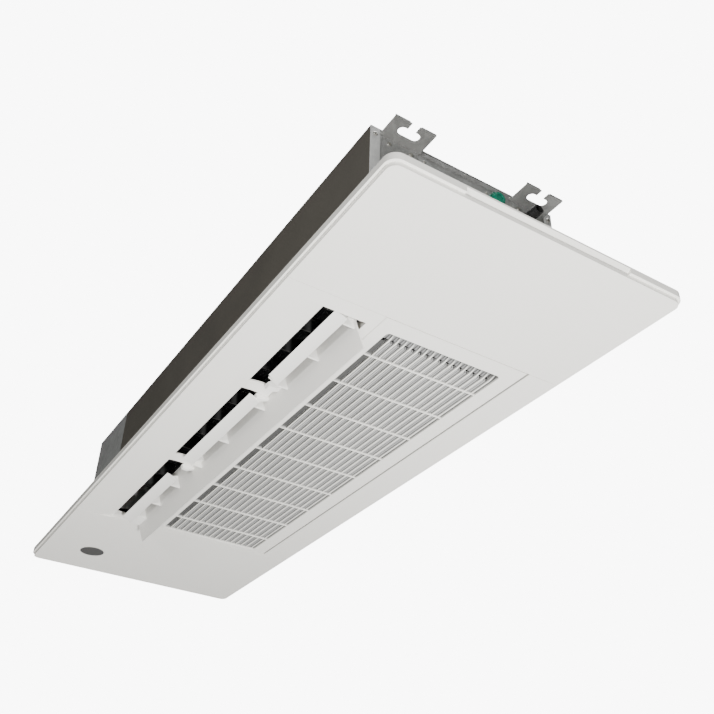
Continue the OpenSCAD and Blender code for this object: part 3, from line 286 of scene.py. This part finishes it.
def dust_group():
    """A soft veil of dust on what faces up, and in patches."""
    tree, given, out = new_group("settled_dust", [
        ("Place", "NodeSocketVector", None), ("Normal", "NodeSocketVector", None),
        ("Color", "NodeSocketColor", (0.5, 0.5, 0.5, 1)), ("Amount", "NodeSocketFloat", 0.2)],
        [("Color", "NodeSocketColor")])
    patches = add_node(tree, "ShaderNodeTexNoise", Scale=35.0, Detail=6.0, Roughness=0.65)
    split = add_node(tree, "ShaderNodeSeparateXYZ")
    facing = add_node(tree, "ShaderNodeMapRange", From_Min=0.2, From_Max=0.9)
    many = math_node(tree, "MULTIPLY")
    amount = math_node(tree, "MULTIPLY")
    mix = color_mix(tree, second=DUST_COLOR)
    link = tree.links.new
    link(given.outputs["Place"], patches.inputs["Vector"])
    link(given.outputs["Normal"], split.inputs["Vector"])
    link(split.outputs["Z"], facing.inputs["Value"])
    link(facing.outputs["Result"], many.inputs[0])
    link(patches.outputs["Fac"], many.inputs[1])
    link(many.outputs[0], amount.inputs[0])
    link(given.outputs["Amount"], amount.inputs[1])
    link(amount.outputs[0], mix.inputs["Factor"])
    link(given.outputs["Color"], mix.inputs["A"])
    link(mix.outputs["Result"], out.inputs["Color"])
    return tree


DUST_COLOR = (0.42, 0.41, 0.38)
GRAIN = moulded_grain_group()
SPANGLE = spangle_group()
DUST = dust_group()


def add_dust(tree, where, tone, amount):
    """Dust over a colour, where the surface faces up."""
    veil = place_group(tree, DUST, where, Amount=amount)
    facing = add_node(tree, "ShaderNodeNewGeometry")
    tree.links.new(facing.outputs["Normal"], veil.inputs["Normal"])
    tree.links.new(tone, veil.inputs["Color"])
    return veil.outputs["Color"]


def moulded(name, color, shade, roughness=0.42, spread=0.06, grain=1400.0, depth=0.03 * MM, dust=0.0,
            **sockets):
    """Moulded plastic: fine grain, slow drift of tone and gloss, and dust where it faces up."""
    material, tree, shader, where = start_material(name, **sockets)
    group = place_group(tree, GRAIN, where, **tones(color, shade), Grain_Scale=grain, Roughness=roughness,
                        Roughness_Spread=spread)
    tone = group.outputs["Color"]
    if dust > 0:
        tone = add_dust(tree, where, tone, dust)
    tree.links.new(tone, shader.inputs["Base Color"])
    tree.links.new(group.outputs["Roughness"], shader.inputs["Roughness"])
    bump(tree, shader, group.outputs["Height"], depth)
    return material


# Heights between which painted shade turns the slats from their own colour to a deeper grey
SLAT_EDGE = -12.9 * MM
SLAT_DEEP = -10.4 * MM


def slatted_with_painted_shade(name, color, shade, painted_shade):
    """Moulded plastic of the grille, with painted shade that greys it towards the back of its slats."""
    material = moulded(name, color, shade)
    tree = material.node_tree
    shader = tree.nodes["Principled BSDF"]
    tone = shader.inputs["Base Color"].links[0].from_socket
    where = add_node(tree, "ShaderNodeTexCoord")
    split = add_node(tree, "ShaderNodeSeparateXYZ")
    depth = add_node(tree, "ShaderNodeMapRange", From_Min=SLAT_EDGE, From_Max=SLAT_DEEP)
    mix = color_mix(tree, second=painted_shade)
    link = tree.links.new
    link(where.outputs["Object"], split.inputs[0])
    link(split.outputs["Z"], depth.inputs["Value"])
    link(depth.outputs["Result"], mix.inputs["Factor"])
    link(tone, mix.inputs["A"])
    link(mix.outputs["Result"], shader.inputs["Base Color"])
    return material


def zinc(name, color, shade, cell, metallic, dust):
    """Galvanised sheet with a soft spangle and settled dust."""
    material, tree, shader, where = start_material(name, Metallic=metallic)
    group = place_group(tree, SPANGLE, where, **tones(color, shade), Cell_Scale=cell)
    tone = add_dust(tree, where, group.outputs["Color"], dust)
    tree.links.new(tone, shader.inputs["Base Color"])
    tree.links.new(group.outputs["Roughness"], shader.inputs["Roughness"])
    bump(tree, shader, group.outputs["Height"], distance=0.1 * MM, strength=0.5)
    return material


# Outlet side plate: the lining ends past the air path, and the plate's near end is folded round
LINING = ((0.105, 0.096, 0.08), (0.066, 0.06, 0.05))
LINING_END = -310.0 * MM
BARE_SHEET = ((0.3, 0.306, 0.3), (0.21, 0.217, 0.21))
FOLDED_END = ((0.66, 0.665, 0.65), (0.48, 0.485, 0.475))
FOLD_FROM = SHEET_FACE + 0.1 * MM


def lined_sheet(name):
    """Dark lined sheet, left plain galvanised beyond the air path and on its folded end."""
    material, tree, shader, where = start_material(name)
    lining = place_group(tree, GRAIN, where, **tones(*LINING), Grain_Scale=500.0, Drift_Scale=9.0,
                         Roughness=0.55, Roughness_Spread=0.15)
    bare = place_group(tree, SPANGLE, where, **tones(*BARE_SHEET), Cell_Scale=110.0)
    folded = place_group(tree, SPANGLE, where, **tones(*FOLDED_END), Cell_Scale=130.0)
    split = add_node(tree, "ShaderNodeSeparateXYZ")
    beyond = math_node(tree, "LESS_THAN", LINING_END)
    round_end = math_node(tree, "GREATER_THAN", FOLD_FROM)
    side = color_mix(tree)
    whole = color_mix(tree)
    gloss = add_node(tree, "ShaderNodeMix", data_type="FLOAT")
    link = tree.links.new
    link(where.outputs["Object"], split.inputs["Vector"])
    link(split.outputs["X"], beyond.inputs[0])
    link(split.outputs["X"], round_end.inputs[0])
    link(beyond.outputs[0], side.inputs["Factor"])
    link(lining.outputs["Color"], side.inputs["A"])
    link(bare.outputs["Color"], side.inputs["B"])
    link(round_end.outputs[0], whole.inputs["Factor"])
    link(side.outputs["Result"], whole.inputs["A"])
    link(folded.outputs["Color"], whole.inputs["B"])
    link(whole.outputs["Result"], shader.inputs["Base Color"])
    link(beyond.outputs[0], gloss.inputs["Factor"])
    link(lining.outputs["Roughness"], gloss.inputs["A"])
    link(bare.outputs["Roughness"], gloss.inputs["B"])
    link(gloss.outputs["Result"], shader.inputs["Roughness"])
    bump(tree, shader, lining.outputs["Height"], distance=0.1 * MM, strength=0.6)
    return material


# Filter net, with the pitch of its heavy threads
NET_PITCH = 3.3 * MM
NET_COLOR = (0.5, 0.5, 0.487)
NET_THREAD = (0.13, 0.13, 0.127)


def woven_net(name):
    """Filter net: a fine weave with heavier threads along X."""
    material, tree, shader, where = start_material(name, Roughness=0.6)
    threads = []
    for pitch, axis in ((NET_PITCH, "Y"), (NET_PITCH / 3, "Y"), (NET_PITCH / 3, "X")):
        wave = add_node(tree, "ShaderNodeTexWave", Scale=wave_scale(pitch), bands_direction=axis)
        tree.links.new(where.outputs["Object"], wave.inputs["Vector"])
        threads.append(wave)
    heavy = add_node(tree, "ShaderNodeMapRange", From_Min=0.55, From_Max=0.95)
    weave = math_node(tree, "MULTIPLY")
    fine = math_node(tree, "MULTIPLY", 0.45)
    both = math_node(tree, "MAXIMUM")
    dust = add_node(tree, "ShaderNodeTexNoise", Scale=18.0, Detail=6.0)
    drift = math_node(tree, "MULTIPLY_ADD", 0.25)
    net = color_mix(tree, NET_COLOR, NET_THREAD)
    link = tree.links.new
    link(threads[0].outputs["Fac"], heavy.inputs["Value"])
    link(threads[1].outputs["Fac"], weave.inputs[0])
    link(threads[2].outputs["Fac"], weave.inputs[1])
    link(weave.outputs[0], fine.inputs[0])
    link(fine.outputs[0], both.inputs[0])
    link(heavy.outputs["Result"], both.inputs[1])
    link(where.outputs["Object"], dust.inputs["Vector"])
    link(dust.outputs["Fac"], drift.inputs[0])
    link(both.outputs[0], drift.inputs[2])
    link(drift.outputs[0], net.inputs["Factor"])
    link(net.outputs["Result"], shader.inputs["Base Color"])
    bump(tree, shader, both.outputs[0], distance=0.4 * MM, strength=-0.6)
    return material


# Foam bead mouldings, with the line where the black ones end
FOAM_BLACK_END = -56.0 * MM
BLACK_FOAM = ((0.02, 0.02, 0.02), (0.012, 0.012, 0.012))
PALE_FOAM = ((0.62, 0.62, 0.6), (0.5, 0.5, 0.48))


def duct_foam(name):
    """Foam bead mouldings: black in the air outlet, pale over the return opening."""
    material, tree, shader, where = start_material(name, Roughness=0.85)
    dark = place_group(tree, GRAIN, where, **tones(*BLACK_FOAM))
    pale = place_group(tree, GRAIN, where, **tones(*PALE_FOAM))
    beads = add_node(tree, "ShaderNodeTexVoronoi", Scale=330.0)
    split = add_node(tree, "ShaderNodeSeparateXYZ")
    past = math_node(tree, "GREATER_THAN", FOAM_BLACK_END)
    mix = color_mix(tree)
    link = tree.links.new
    link(where.outputs["Object"], beads.inputs["Vector"])
    link(where.outputs["Object"], split.inputs["Vector"])
    link(split.outputs["Y"], past.inputs[0])
    link(past.outputs[0], mix.inputs["Factor"])
    link(dark.outputs["Color"], mix.inputs["A"])
    link(pale.outputs["Color"], mix.inputs["B"])
    link(mix.outputs["Result"], shader.inputs["Base Color"])
    bump(tree, shader, beads.outputs["Distance"], distance=0.4 * MM, strength=0.7)
    return material


FIN_PITCH = 0.9 * MM


def fin_pack(name, color, shade):
    """Aluminium fins of the heat exchanger, as fine parallel lines across X."""
    material, tree, shader, where = start_material(name, Metallic=0.9)
    group = place_group(tree, GRAIN, where, **tones(color, shade), Roughness=0.35, Roughness_Spread=0.1)
    lines = add_node(tree, "ShaderNodeTexWave", Scale=wave_scale(FIN_PITCH), bands_direction="X")
    tree.links.new(where.outputs["Object"], lines.inputs["Vector"])
    tree.links.new(group.outputs["Color"], shader.inputs["Base Color"])
    tree.links.new(group.outputs["Roughness"], shader.inputs["Roughness"])
    bump(tree, shader, lines.outputs["Fac"], distance=0.3 * MM, strength=0.8)
    return material


WHITE = (0.83, 0.815, 0.765)
WHITE_SHADE = (0.8, 0.785, 0.735)
LOUVER_FINISH = {"roughness": 0.34, "grain": 900.0, "depth": 0.02 * MM, "dust": 0.15}

moulded("panel_white", WHITE, WHITE_SHADE, roughness=0.4, dust=0.25)
# A near-black for the net's edge strip, as painted shade in the first gap beside the slats.
moulded("filter_edge_painted_shade", (0.075, 0.075, 0.073), (0.06, 0.06, 0.058), roughness=0.6)
# The grille's white, with painted shade greying it deeper up the slats.
slatted_with_painted_shade("grille_white", WHITE, WHITE_SHADE, (0.3, 0.3, 0.293))
# The louver plate: a greyer copy of the louver's white, as painted shade on the plate.
moulded("plate_white_painted_shade", (0.72, 0.708, 0.672), (0.69, 0.678, 0.642), **LOUVER_FINISH)
moulded("louver_white", (0.83, 0.82, 0.78), (0.8, 0.79, 0.75), **LOUVER_FINISH)
moulded("window_black", (0.02, 0.018, 0.016), (0.012, 0.011, 0.011), roughness=0.12, spread=0.03,
        depth=0.01 * MM, Coat_Weight=0.6, Coat_Roughness=0.05)
moulded("board_green", (0.03, 0.16, 0.06), (0.02, 0.1, 0.04), roughness=0.5, dust=0.3)
moulded("motor_grey", (0.5, 0.51, 0.52), (0.42, 0.43, 0.44), roughness=0.45, dust=0.3)
moulded("rail_grey", (0.3, 0.3, 0.295), (0.24, 0.24, 0.236), roughness=0.5)
moulded("catch_plastic", (0.6, 0.6, 0.57), (0.52, 0.52, 0.49), roughness=0.4)
moulded("seal_foam", (0.03, 0.03, 0.03), (0.02, 0.02, 0.02), roughness=0.9, spread=0.05, grain=300.0,
        depth=0.6 * MM)
moulded("duct_black", (0.035, 0.035, 0.034), (0.02, 0.02, 0.02), roughness=0.32, spread=0.1)
zinc("galvanised", (0.43, 0.435, 0.425), (0.27, 0.273, 0.267), cell=130.0, metallic=0.4, dust=0.3)
zinc("screw_steel", (0.62, 0.61, 0.57), (0.45, 0.44, 0.4), cell=900.0, metallic=0.95, dust=0.1)
lined_sheet("casing_dark")
duct_foam("air_foam")
fin_pack("fin_aluminium", (0.72, 0.74, 0.76), (0.6, 0.63, 0.66))
moulded("copper_tube", (0.62, 0.27, 0.15), (0.42, 0.17, 0.09), roughness=0.22, spread=0.25, grain=300.0,
        depth=0.05 * MM, Metallic=1.0)
moulded("hose_grey", (0.1, 0.105, 0.11), (0.07, 0.072, 0.075), roughness=0.6, spread=0.1, dust=0.3)
moulded("spigot_black", (0.015, 0.015, 0.015), (0.01, 0.01, 0.01), roughness=0.5, spread=0.15)
moulded("plug_green", (0.008, 0.29, 0.18), (0.005, 0.2, 0.125), roughness=0.3, spread=0.08)
woven_net("filter_net")
moulded("rotor_grey", (0.06, 0.062, 0.066), (0.04, 0.042, 0.046), roughness=0.45, spread=0.1)


def finish_mesh(obj, node, material):
    """Give a piece its one material and let it ride on the node's body."""
    obj.data.materials.clear()
    obj.data.materials.append(material)
    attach(obj, body_of_node[node])


# Help with modelling
MERGE_WITHIN = 0.005 * MM
FLAT_WITHIN = math.radians(1.0)
QUAD_SKEW = math.radians(60.0)
SMOOTH_UP_TO = math.radians(50.0)
ALONG_AXIS = 0.9
ROUND_SIDES = 64


def deselect():
    if bpy.context.object and bpy.context.object.mode != "OBJECT":
        leave()
    bpy.ops.object.select_all(action="DESELECT")


def pick(*pieces):
    """Select these pieces alone, with the first one active."""
    deselect()
    for piece in pieces:
        piece.select_set(True)
    bpy.context.view_layer.objects.active = pieces[0]


def edit(piece):
    pick(piece)
    bpy.ops.object.mode_set(mode="EDIT")


def leave():
    bpy.ops.object.mode_set(mode="OBJECT")


def join(pieces, name):
    """Join the pieces into the first one."""
    pick(*pieces)
    bpy.ops.object.join()
    pieces[0].name = name
    return pieces[0]


def settle_shading(piece):
    """Smooth shading on the rounded edges that leaves the broad faces flat."""
    pick(piece)
    bpy.ops.object.shade_smooth_by_angle(angle=SMOOTH_UP_TO)
    flat = piece.modifiers.new("flat_faces", "WEIGHTED_NORMAL")
    flat.keep_sharp = True
    bpy.ops.object.modifier_apply(modifier=flat.name)


def select_sharp(angle):
    """In edit mode, select only the edges that turn by more than an angle in degrees."""
    bpy.ops.mesh.select_mode(type="EDGE")
    bpy.ops.mesh.select_all(action="DESELECT")
    bpy.ops.mesh.edges_select_sharp(sharpness=math.radians(angle))


def drop_short_edges(piece, shortest):
    """In edit mode, take the edges under a length out of the selection."""
    leave()
    points = piece.data.vertices
    for edge in piece.data.edges:
        a, b = (points[i].co for i in edge.vertices)
        if (a - b).length < shortest:
            edge.select = False
    bpy.ops.object.mode_set(mode="EDIT")
    bpy.ops.mesh.select_mode(type="EDGE")


def faces_where(piece, test):
    """Select the faces whose centre and normal pass a test, and leave edit mode open."""
    edit(piece)
    bpy.ops.mesh.select_mode(type="FACE")
    bpy.ops.mesh.select_all(action="DESELECT")
    leave()
    for face in piece.data.polygons:
        face.select = test(face.center, face.normal)
    bpy.ops.object.mode_set(mode="EDIT")


def near_face(place, normal):
    return normal.x > ALONG_AXIS


def extrude(step):
    bpy.ops.mesh.extrude_region_move(TRANSFORM_OT_translate={"value": step})


def pull_faces(piece, test, step):
    """Extrude the faces that pass a test by a step."""
    faces_where(piece, test)
    extrude(step)
    leave()


def soften(piece, width, angle=40.0):
    """Bevel the sharp edges and shade the rest smooth."""
    edit(piece)
    select_sharp(angle)
    bpy.ops.mesh.bevel(offset=width, segments=2, profile=0.5, clamp_overlap=True)
    bpy.ops.mesh.select_all(action="SELECT")
    bpy.ops.mesh.normals_make_consistent(inside=False)
    leave()
    settle_shading(piece)


def bar_along_x(name, start, length, radius, sides):
    """A round bar along X with its place in its mesh."""
    deselect()
    middle = (start[0] + length / 2, start[1], start[2])
    bpy.ops.mesh.primitive_cylinder_add(vertices=sides, radius=radius, depth=length, location=middle,
                                        rotation=(0, math.radians(90), 0))
    bar = bpy.context.object
    bar.name = name
    bpy.ops.object.transform_apply(location=True, rotation=True, scale=True)
    return bar


def box_between(name, low, high):
    """A box with its place in its mesh."""
    deselect()
    bpy.ops.mesh.primitive_cube_add(size=1, location=(low + high) / 2)
    box = bpy.context.object
    box.name = name
    box.scale = high - low
    bpy.ops.object.transform_apply(location=True, rotation=True, scale=True)
    return box


def joined_copies(pattern, name, places):
    """One piece made of a pattern's copies, one at each place, in the pattern's stead."""
    copies = []
    for place in places:
        copy = pattern.copy()
        copy.data = pattern.data.copy()
        bpy.context.scene.collection.objects.link(copy)
        copy.data.transform(place)
        copies.append(copy)
    bpy.data.objects.remove(pattern)
    return join(copies, name)


def rounded_copy(node, name, width, segments=2, angle=32.0, shortest=0.0, finish=None):
    """A merged copy of a node with its sharp edges rounded, standing for the node."""
    source = frame["nodes"][node]
    piece = bpy.data.objects.new(name, source.data.copy())
    bpy.context.scene.collection.objects.link(piece)
    edit(piece)
    bpy.ops.mesh.select_all(action="SELECT")
    bpy.ops.mesh.remove_doubles(threshold=MERGE_WITHIN)
    bpy.ops.mesh.tris_convert_to_quads(face_threshold=FLAT_WITHIN, shape_threshold=QUAD_SKEW)
    select_sharp(angle)
    if shortest > 0:
        drop_short_edges(piece, shortest)
    bpy.ops.mesh.bevel(offset=width, offset_type="WIDTH", segments=segments, profile=0.5,
                       clamp_overlap=True, miter_outer="ARC")
    leave()
    settle_shading(piece)
    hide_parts(node)
    finish_mesh(piece, node, materials[finish or slot_of_node[node]])


# Test plug on the pipe end plate
PLUG_ROUNDING = 0.25 * MM
PLUG_RADIUS = 9.5 * MM
PLUG_CAP_RADIUS = 7.6 * MM
PLUG_CAP_HEIGHT = 3.0 * MM
KNURLS = 30
KNURL_DEPTH = 0.5 * MM
KNURL_LAND = 0.12 * MM
RECESS_RIM_SHARE = 0.35
PLUG_RECESS = 0.8 * MM


def make_plug():
    """Screw-in test plug: knurled rim and a stepped cap with a round recess."""
    low, high = node_box("test_plug")
    axis = Vector((SHEET_FACE, (low.y + high.y) / 2, low.z + PLUG_RADIUS))
    rim = bar_along_x("test_plug_rim", axis, high.x - PLUG_CAP_HEIGHT - SHEET_FACE, PLUG_RADIUS, KNURLS * 2)

    def every_other(place, normal):
        turn = math.atan2(place.z - axis.z, place.y - axis.y) / math.tau * KNURLS * 2
        return abs(normal.x) < 1 - ALONG_AXIS and math.floor(turn + 0.001) % 2 == 0

    faces_where(rim, every_other)
    bpy.ops.mesh.inset(thickness=KNURL_LAND, use_individual=True)
    bpy.ops.transform.shrink_fatten(value=-KNURL_DEPTH)
    leave()
    faces_where(rim, near_face)
    bpy.ops.mesh.inset(thickness=PLUG_RADIUS - PLUG_CAP_RADIUS)
    extrude((PLUG_CAP_HEIGHT, 0, 0))
    bpy.ops.mesh.inset(thickness=PLUG_CAP_RADIUS * RECESS_RIM_SHARE)
    extrude((-PLUG_RECESS, 0, 0))
    leave()
    soften(rim, PLUG_ROUNDING, angle=50.0)
    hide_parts("test_plug")
    finish_mesh(rim, "test_plug", materials["plug_green"])


# Drain spigot beside the hanger
SPIGOT_RADIUS = 7.0 * MM
SPIGOT_BORE = 5.0 * MM
SPIGOT_GROOVE = 0.5 * MM
SPIGOT_ROUNDING = 0.2 * MM
RINGS = 3
RING_RADIUS = 0.75 * MM
FIRST_RING = 8.5 * MM
RING_PITCH = 4.5 * MM
COLLAR_LENGTH = 2.0 * MM
COLLAR_BRIM = 2.0 * MM
COLLAR_LIP = 1.2 * MM


def make_spigot():
    """Rubber drain spigot: a bored sleeve with a collar and gripping rings."""
    low, high = node_box("drain_spigot")
    y = (low.y + high.y) / 2
    z = (low.z + high.z) / 2
    sleeve_radius = SPIGOT_RADIUS - SPIGOT_GROOVE
    sleeve = bar_along_x("drain_spigot_sleeve", (low.x, y, z), high.x - low.x, sleeve_radius, ROUND_SIDES)
    faces_where(sleeve, near_face)
    bpy.ops.mesh.inset(thickness=sleeve_radius - SPIGOT_BORE)
    extrude((CASING_END - high.x, 0, 0))
    leave()
    pieces = [sleeve]
    for ring in range(RINGS):
        deselect()
        bpy.ops.mesh.primitive_torus_add(major_segments=ROUND_SIDES, minor_segments=10,
                                         location=(CASING_END + FIRST_RING + RING_PITCH * ring, y, z),
                                         rotation=(0, math.radians(90), 0),
                                         major_radius=SPIGOT_RADIUS - RING_RADIUS, minor_radius=RING_RADIUS)
        pieces.append(bpy.context.object)
    collar = bar_along_x("spigot_collar", (SHEET_FACE, y, z), COLLAR_LENGTH, SPIGOT_RADIUS + COLLAR_BRIM,
                         ROUND_SIDES)
    faces_where(collar, lambda place, normal: abs(normal.x) > ALONG_AXIS)
    bpy.ops.mesh.inset(thickness=COLLAR_LIP)
    leave()
    pieces.append(collar)
    join(pieces, "drain_spigot_sleeve")
    soften(sleeve, SPIGOT_ROUNDING, angle=50.0)
    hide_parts("drain_spigot")
    finish_mesh(sleeve, "drain_spigot", materials["spigot_black"])


# Screws of the casing, turned in radians for each metre along Y, so that each stands its own way
SCREW_RADIUS = 2.8 * MM
SCREW_HEIGHT = 1.6 * MM
SCREW_ROUND_SHARE = 0.55
SCREW_TURN = 40.0
RECESS_LENGTH = 3.0 * MM
RECESS_WIDTH = 0.7 * MM
RECESS_DEPTH = 0.8 * MM

# Rivets on the pipe end plate, as a share of a screw's size, at places along Y and Z in millimetres
RIVET_SHARE = 0.6
RIVET_PLACES = [(-9.6, 172.6), (-70.0, 161.0), (22.0, 161.0), (60.0, 172.6)]


def islands(node):
    """Low and high corners of each loose part of a CAD node."""
    mesh = frame["nodes"][node].data
    keys = [tuple(round(c, 5) for c in v.co) for v in mesh.vertices]
    parent = {k: k for k in keys}

    def root(k):
        while parent[k] != k:
            parent[k] = parent[parent[k]]
            k = parent[k]
        return k

    for edge in mesh.edges:
        a, b = (root(keys[i]) for i in edge.vertices)
        if a != b:
            parent[a] = b
    groups = {}
    for k in parent:
        groups.setdefault(root(k), []).append(k)
    return sorted((box_round(members) for members in groups.values()), key=lambda box: tuple(box[0]))


def make_screw_head(name):
    """Pan head with a cross recess, standing on the plane x = 0 and facing +X."""
    head = bar_along_x(name, (0, 0, 0), SCREW_HEIGHT, SCREW_RADIUS, ROUND_SIDES // 2)
    faces_where(head, near_face)
    bpy.ops.mesh.bevel(offset=SCREW_HEIGHT * SCREW_ROUND_SHARE, segments=4, profile=0.6)
    leave()
    for size in ((RECESS_LENGTH, RECESS_WIDTH), (RECESS_WIDTH, RECESS_LENGTH)):
        half = Vector((RECESS_DEPTH, size[0] / 2, size[1] / 2))
        middle = Vector((SCREW_HEIGHT, 0, 0))
        bar = box_between("recess_bar", middle - half, middle + half)
        cut = head.modifiers.new("recess", "BOOLEAN")
        cut.operation = "DIFFERENCE"
        cut.object = bar
        pick(head)
        bpy.ops.object.modifier_apply(modifier=cut.name)
        bpy.data.objects.remove(bar)
    bpy.ops.object.shade_smooth_by_angle(angle=math.radians(35.0))
    return head


def set_screws():
    """The casing's screws, one head at each place in the CAD node, each turned its own way."""
    places = []
    for low, high in islands("casing_screws"):
        faces_near_end = low.x + high.x > 0
        foot = Vector((low.x if faces_near_end else high.x, (low.y + high.y) / 2, (low.z + high.z) / 2))
        turn = Matrix.Rotation(0 if faces_near_end else math.pi, 4, "Z")
        spin = Matrix.Rotation(foot.y * SCREW_TURN, 4, "X")
        places.append(Matrix.Translation(foot) @ turn @ spin)
    screws = joined_copies(make_screw_head("screw_pattern"), "casing_screw_heads", places)
    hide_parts("casing_screws")
    finish_mesh(screws, "casing_screws", materials["screw_steel"])


def make_plate_rivets():
    """Small rivets along the pipe end plate, copied from one head."""
    pattern = make_screw_head("rivet_pattern")
    pattern.data.transform(Matrix.Scale(RIVET_SHARE, 4))
    places = [Matrix.Translation((SHEET_FACE, y * MM, z * MM)) for y, z in RIVET_PLACES]
    rivets = joined_copies(pattern, "end_plate_rivets", places)
    finish_mesh(rivets, "pipe_end_plate", materials["screw_steel"])


# Rail over the bent slat ends, the net's edge beside the first slat in a dark colour that paints the shade
# there, and the casing top's fold
RAIL_LOW = Vector((343.0, -47.0, -4.1)) * MM
RAIL_HIGH = Vector((366.0, 112.0, -3.6)) * MM
RAIL_STOP = 1.2 * MM
RAIL_STOP_HEIGHT = 0.3 * MM
RAIL_ROUNDING = 0.1 * MM
FILTER_LOW, FILTER_HIGH = node_box("air_filter")
SHADE_HEM_LOW = FILTER_LOW + Vector((-1.0, -9.6, 0.02)) * MM
SHADE_HEM_HIGH = Vector((FILTER_HIGH.x + 1.0 * MM, FILTER_LOW.y, FILTER_LOW.z + 0.77 * MM))
SHADE_HEM_ROUNDING = 0.1 * MM
SHADE_HEM_THICKNESS = 0.3 * MM
SHADE_HEM_HEIGHT = 1.5 * MM
FOLD_LOW = Vector((SHEET_FACE, -78.0 * MM, 168.5 * MM))
FOLD_HIGH = Vector((SHEET_FACE + 0.5 * MM, 44.0 * MM, 176.5 * MM))
FOLD_EDGE = 1.4 * MM
FOLD_RISE = 0.25 * MM
FOLD_ROUNDING = 0.12 * MM


def make_filter_rail():
    """Thin rail over the bent slat ends, with a raised stop for the filter."""
    rail = box_between("filter_end_rail", RAIL_LOW, RAIL_HIGH)
    pull_faces(rail, lambda place, normal: normal.x < -ALONG_AXIS, (-RAIL_STOP, 0, 0))
    pull_faces(rail, lambda place, normal: normal.z > ALONG_AXIS and place.x < RAIL_LOW.x,
               (0, 0, RAIL_STOP_HEIGHT))
    soften(rail, RAIL_ROUNDING)
    finish_mesh(rail, "intake_grille", materials["rail_grey"])


def make_filter_edge_shade():
    """The net's edge beside the first slat, with a turned up hem; its dark colour paints the shade in that
    gap.
    """
    strip = box_between("filter_edge_shade_strip", SHADE_HEM_LOW, SHADE_HEM_HIGH)
    pull_faces(strip, lambda place, normal: normal.y < -ALONG_AXIS, (0, -SHADE_HEM_THICKNESS, 0))
    pull_faces(strip, lambda place, normal: normal.z > ALONG_AXIS and place.y < SHADE_HEM_LOW.y,
               (0, 0, SHADE_HEM_HEIGHT))
    soften(strip, SHADE_HEM_ROUNDING)
    finish_mesh(strip, "air_filter", materials["filter_edge_painted_shade"])


def make_top_fold():
    """The casing top's edge, folded down over the pipe end plate."""
    fold = box_between("casing_top_fold", FOLD_LOW, FOLD_HIGH)
    faces_where(fold, near_face)
    bpy.ops.mesh.inset(thickness=FOLD_EDGE)
    extrude((FOLD_RISE, 0, 0))
    leave()
    soften(fold, FOLD_ROUNDING)
    finish_mesh(fold, "pipe_end_plate", materials["galvanised"])


# Finishes on the CAD nodes, then the pieces that stand for them or lie over them
for name, node in frame["nodes"].items():
    node.data.materials.clear()
    node.data.materials.append(materials[slot_of_node[name]])

rounded_copy("panel_frame", "panel_frame_moulding", 0.5 * MM, shortest=1.2 * MM)
rounded_copy("near_end_cover", "near_end_cover_moulding", 0.9 * MM, 3)
rounded_copy("far_end_cover", "far_end_cover_moulding", 0.7 * MM, 3)
rounded_copy("intake_grille", "intake_grille_moulding", 0.25 * MM, angle=40.0)
# The louver plate takes the greyer copy of the louver's white, as painted shade.
rounded_copy("louver_plate", "louver_plate_moulding", 0.4 * MM, 3, finish="plate_white_painted_shade")
rounded_copy("guide_blade", "guide_blade_moulding", 0.35 * MM)
rounded_copy("louver_supports", "louver_support_arms", 0.5 * MM, 3)
for corner in ("near_outlet", "near_return", "far_outlet", "far_return"):
    rounded_copy("hanger_" + corner, "hanger_" + corner + "_sheet", 0.3 * MM)
make_filter_rail()
make_filter_edge_shade()
make_top_fold()
make_plate_rivets()
make_plug()
make_spigot()
set_screws()

make_camera()
make_floor()
make_world()
make_lights()
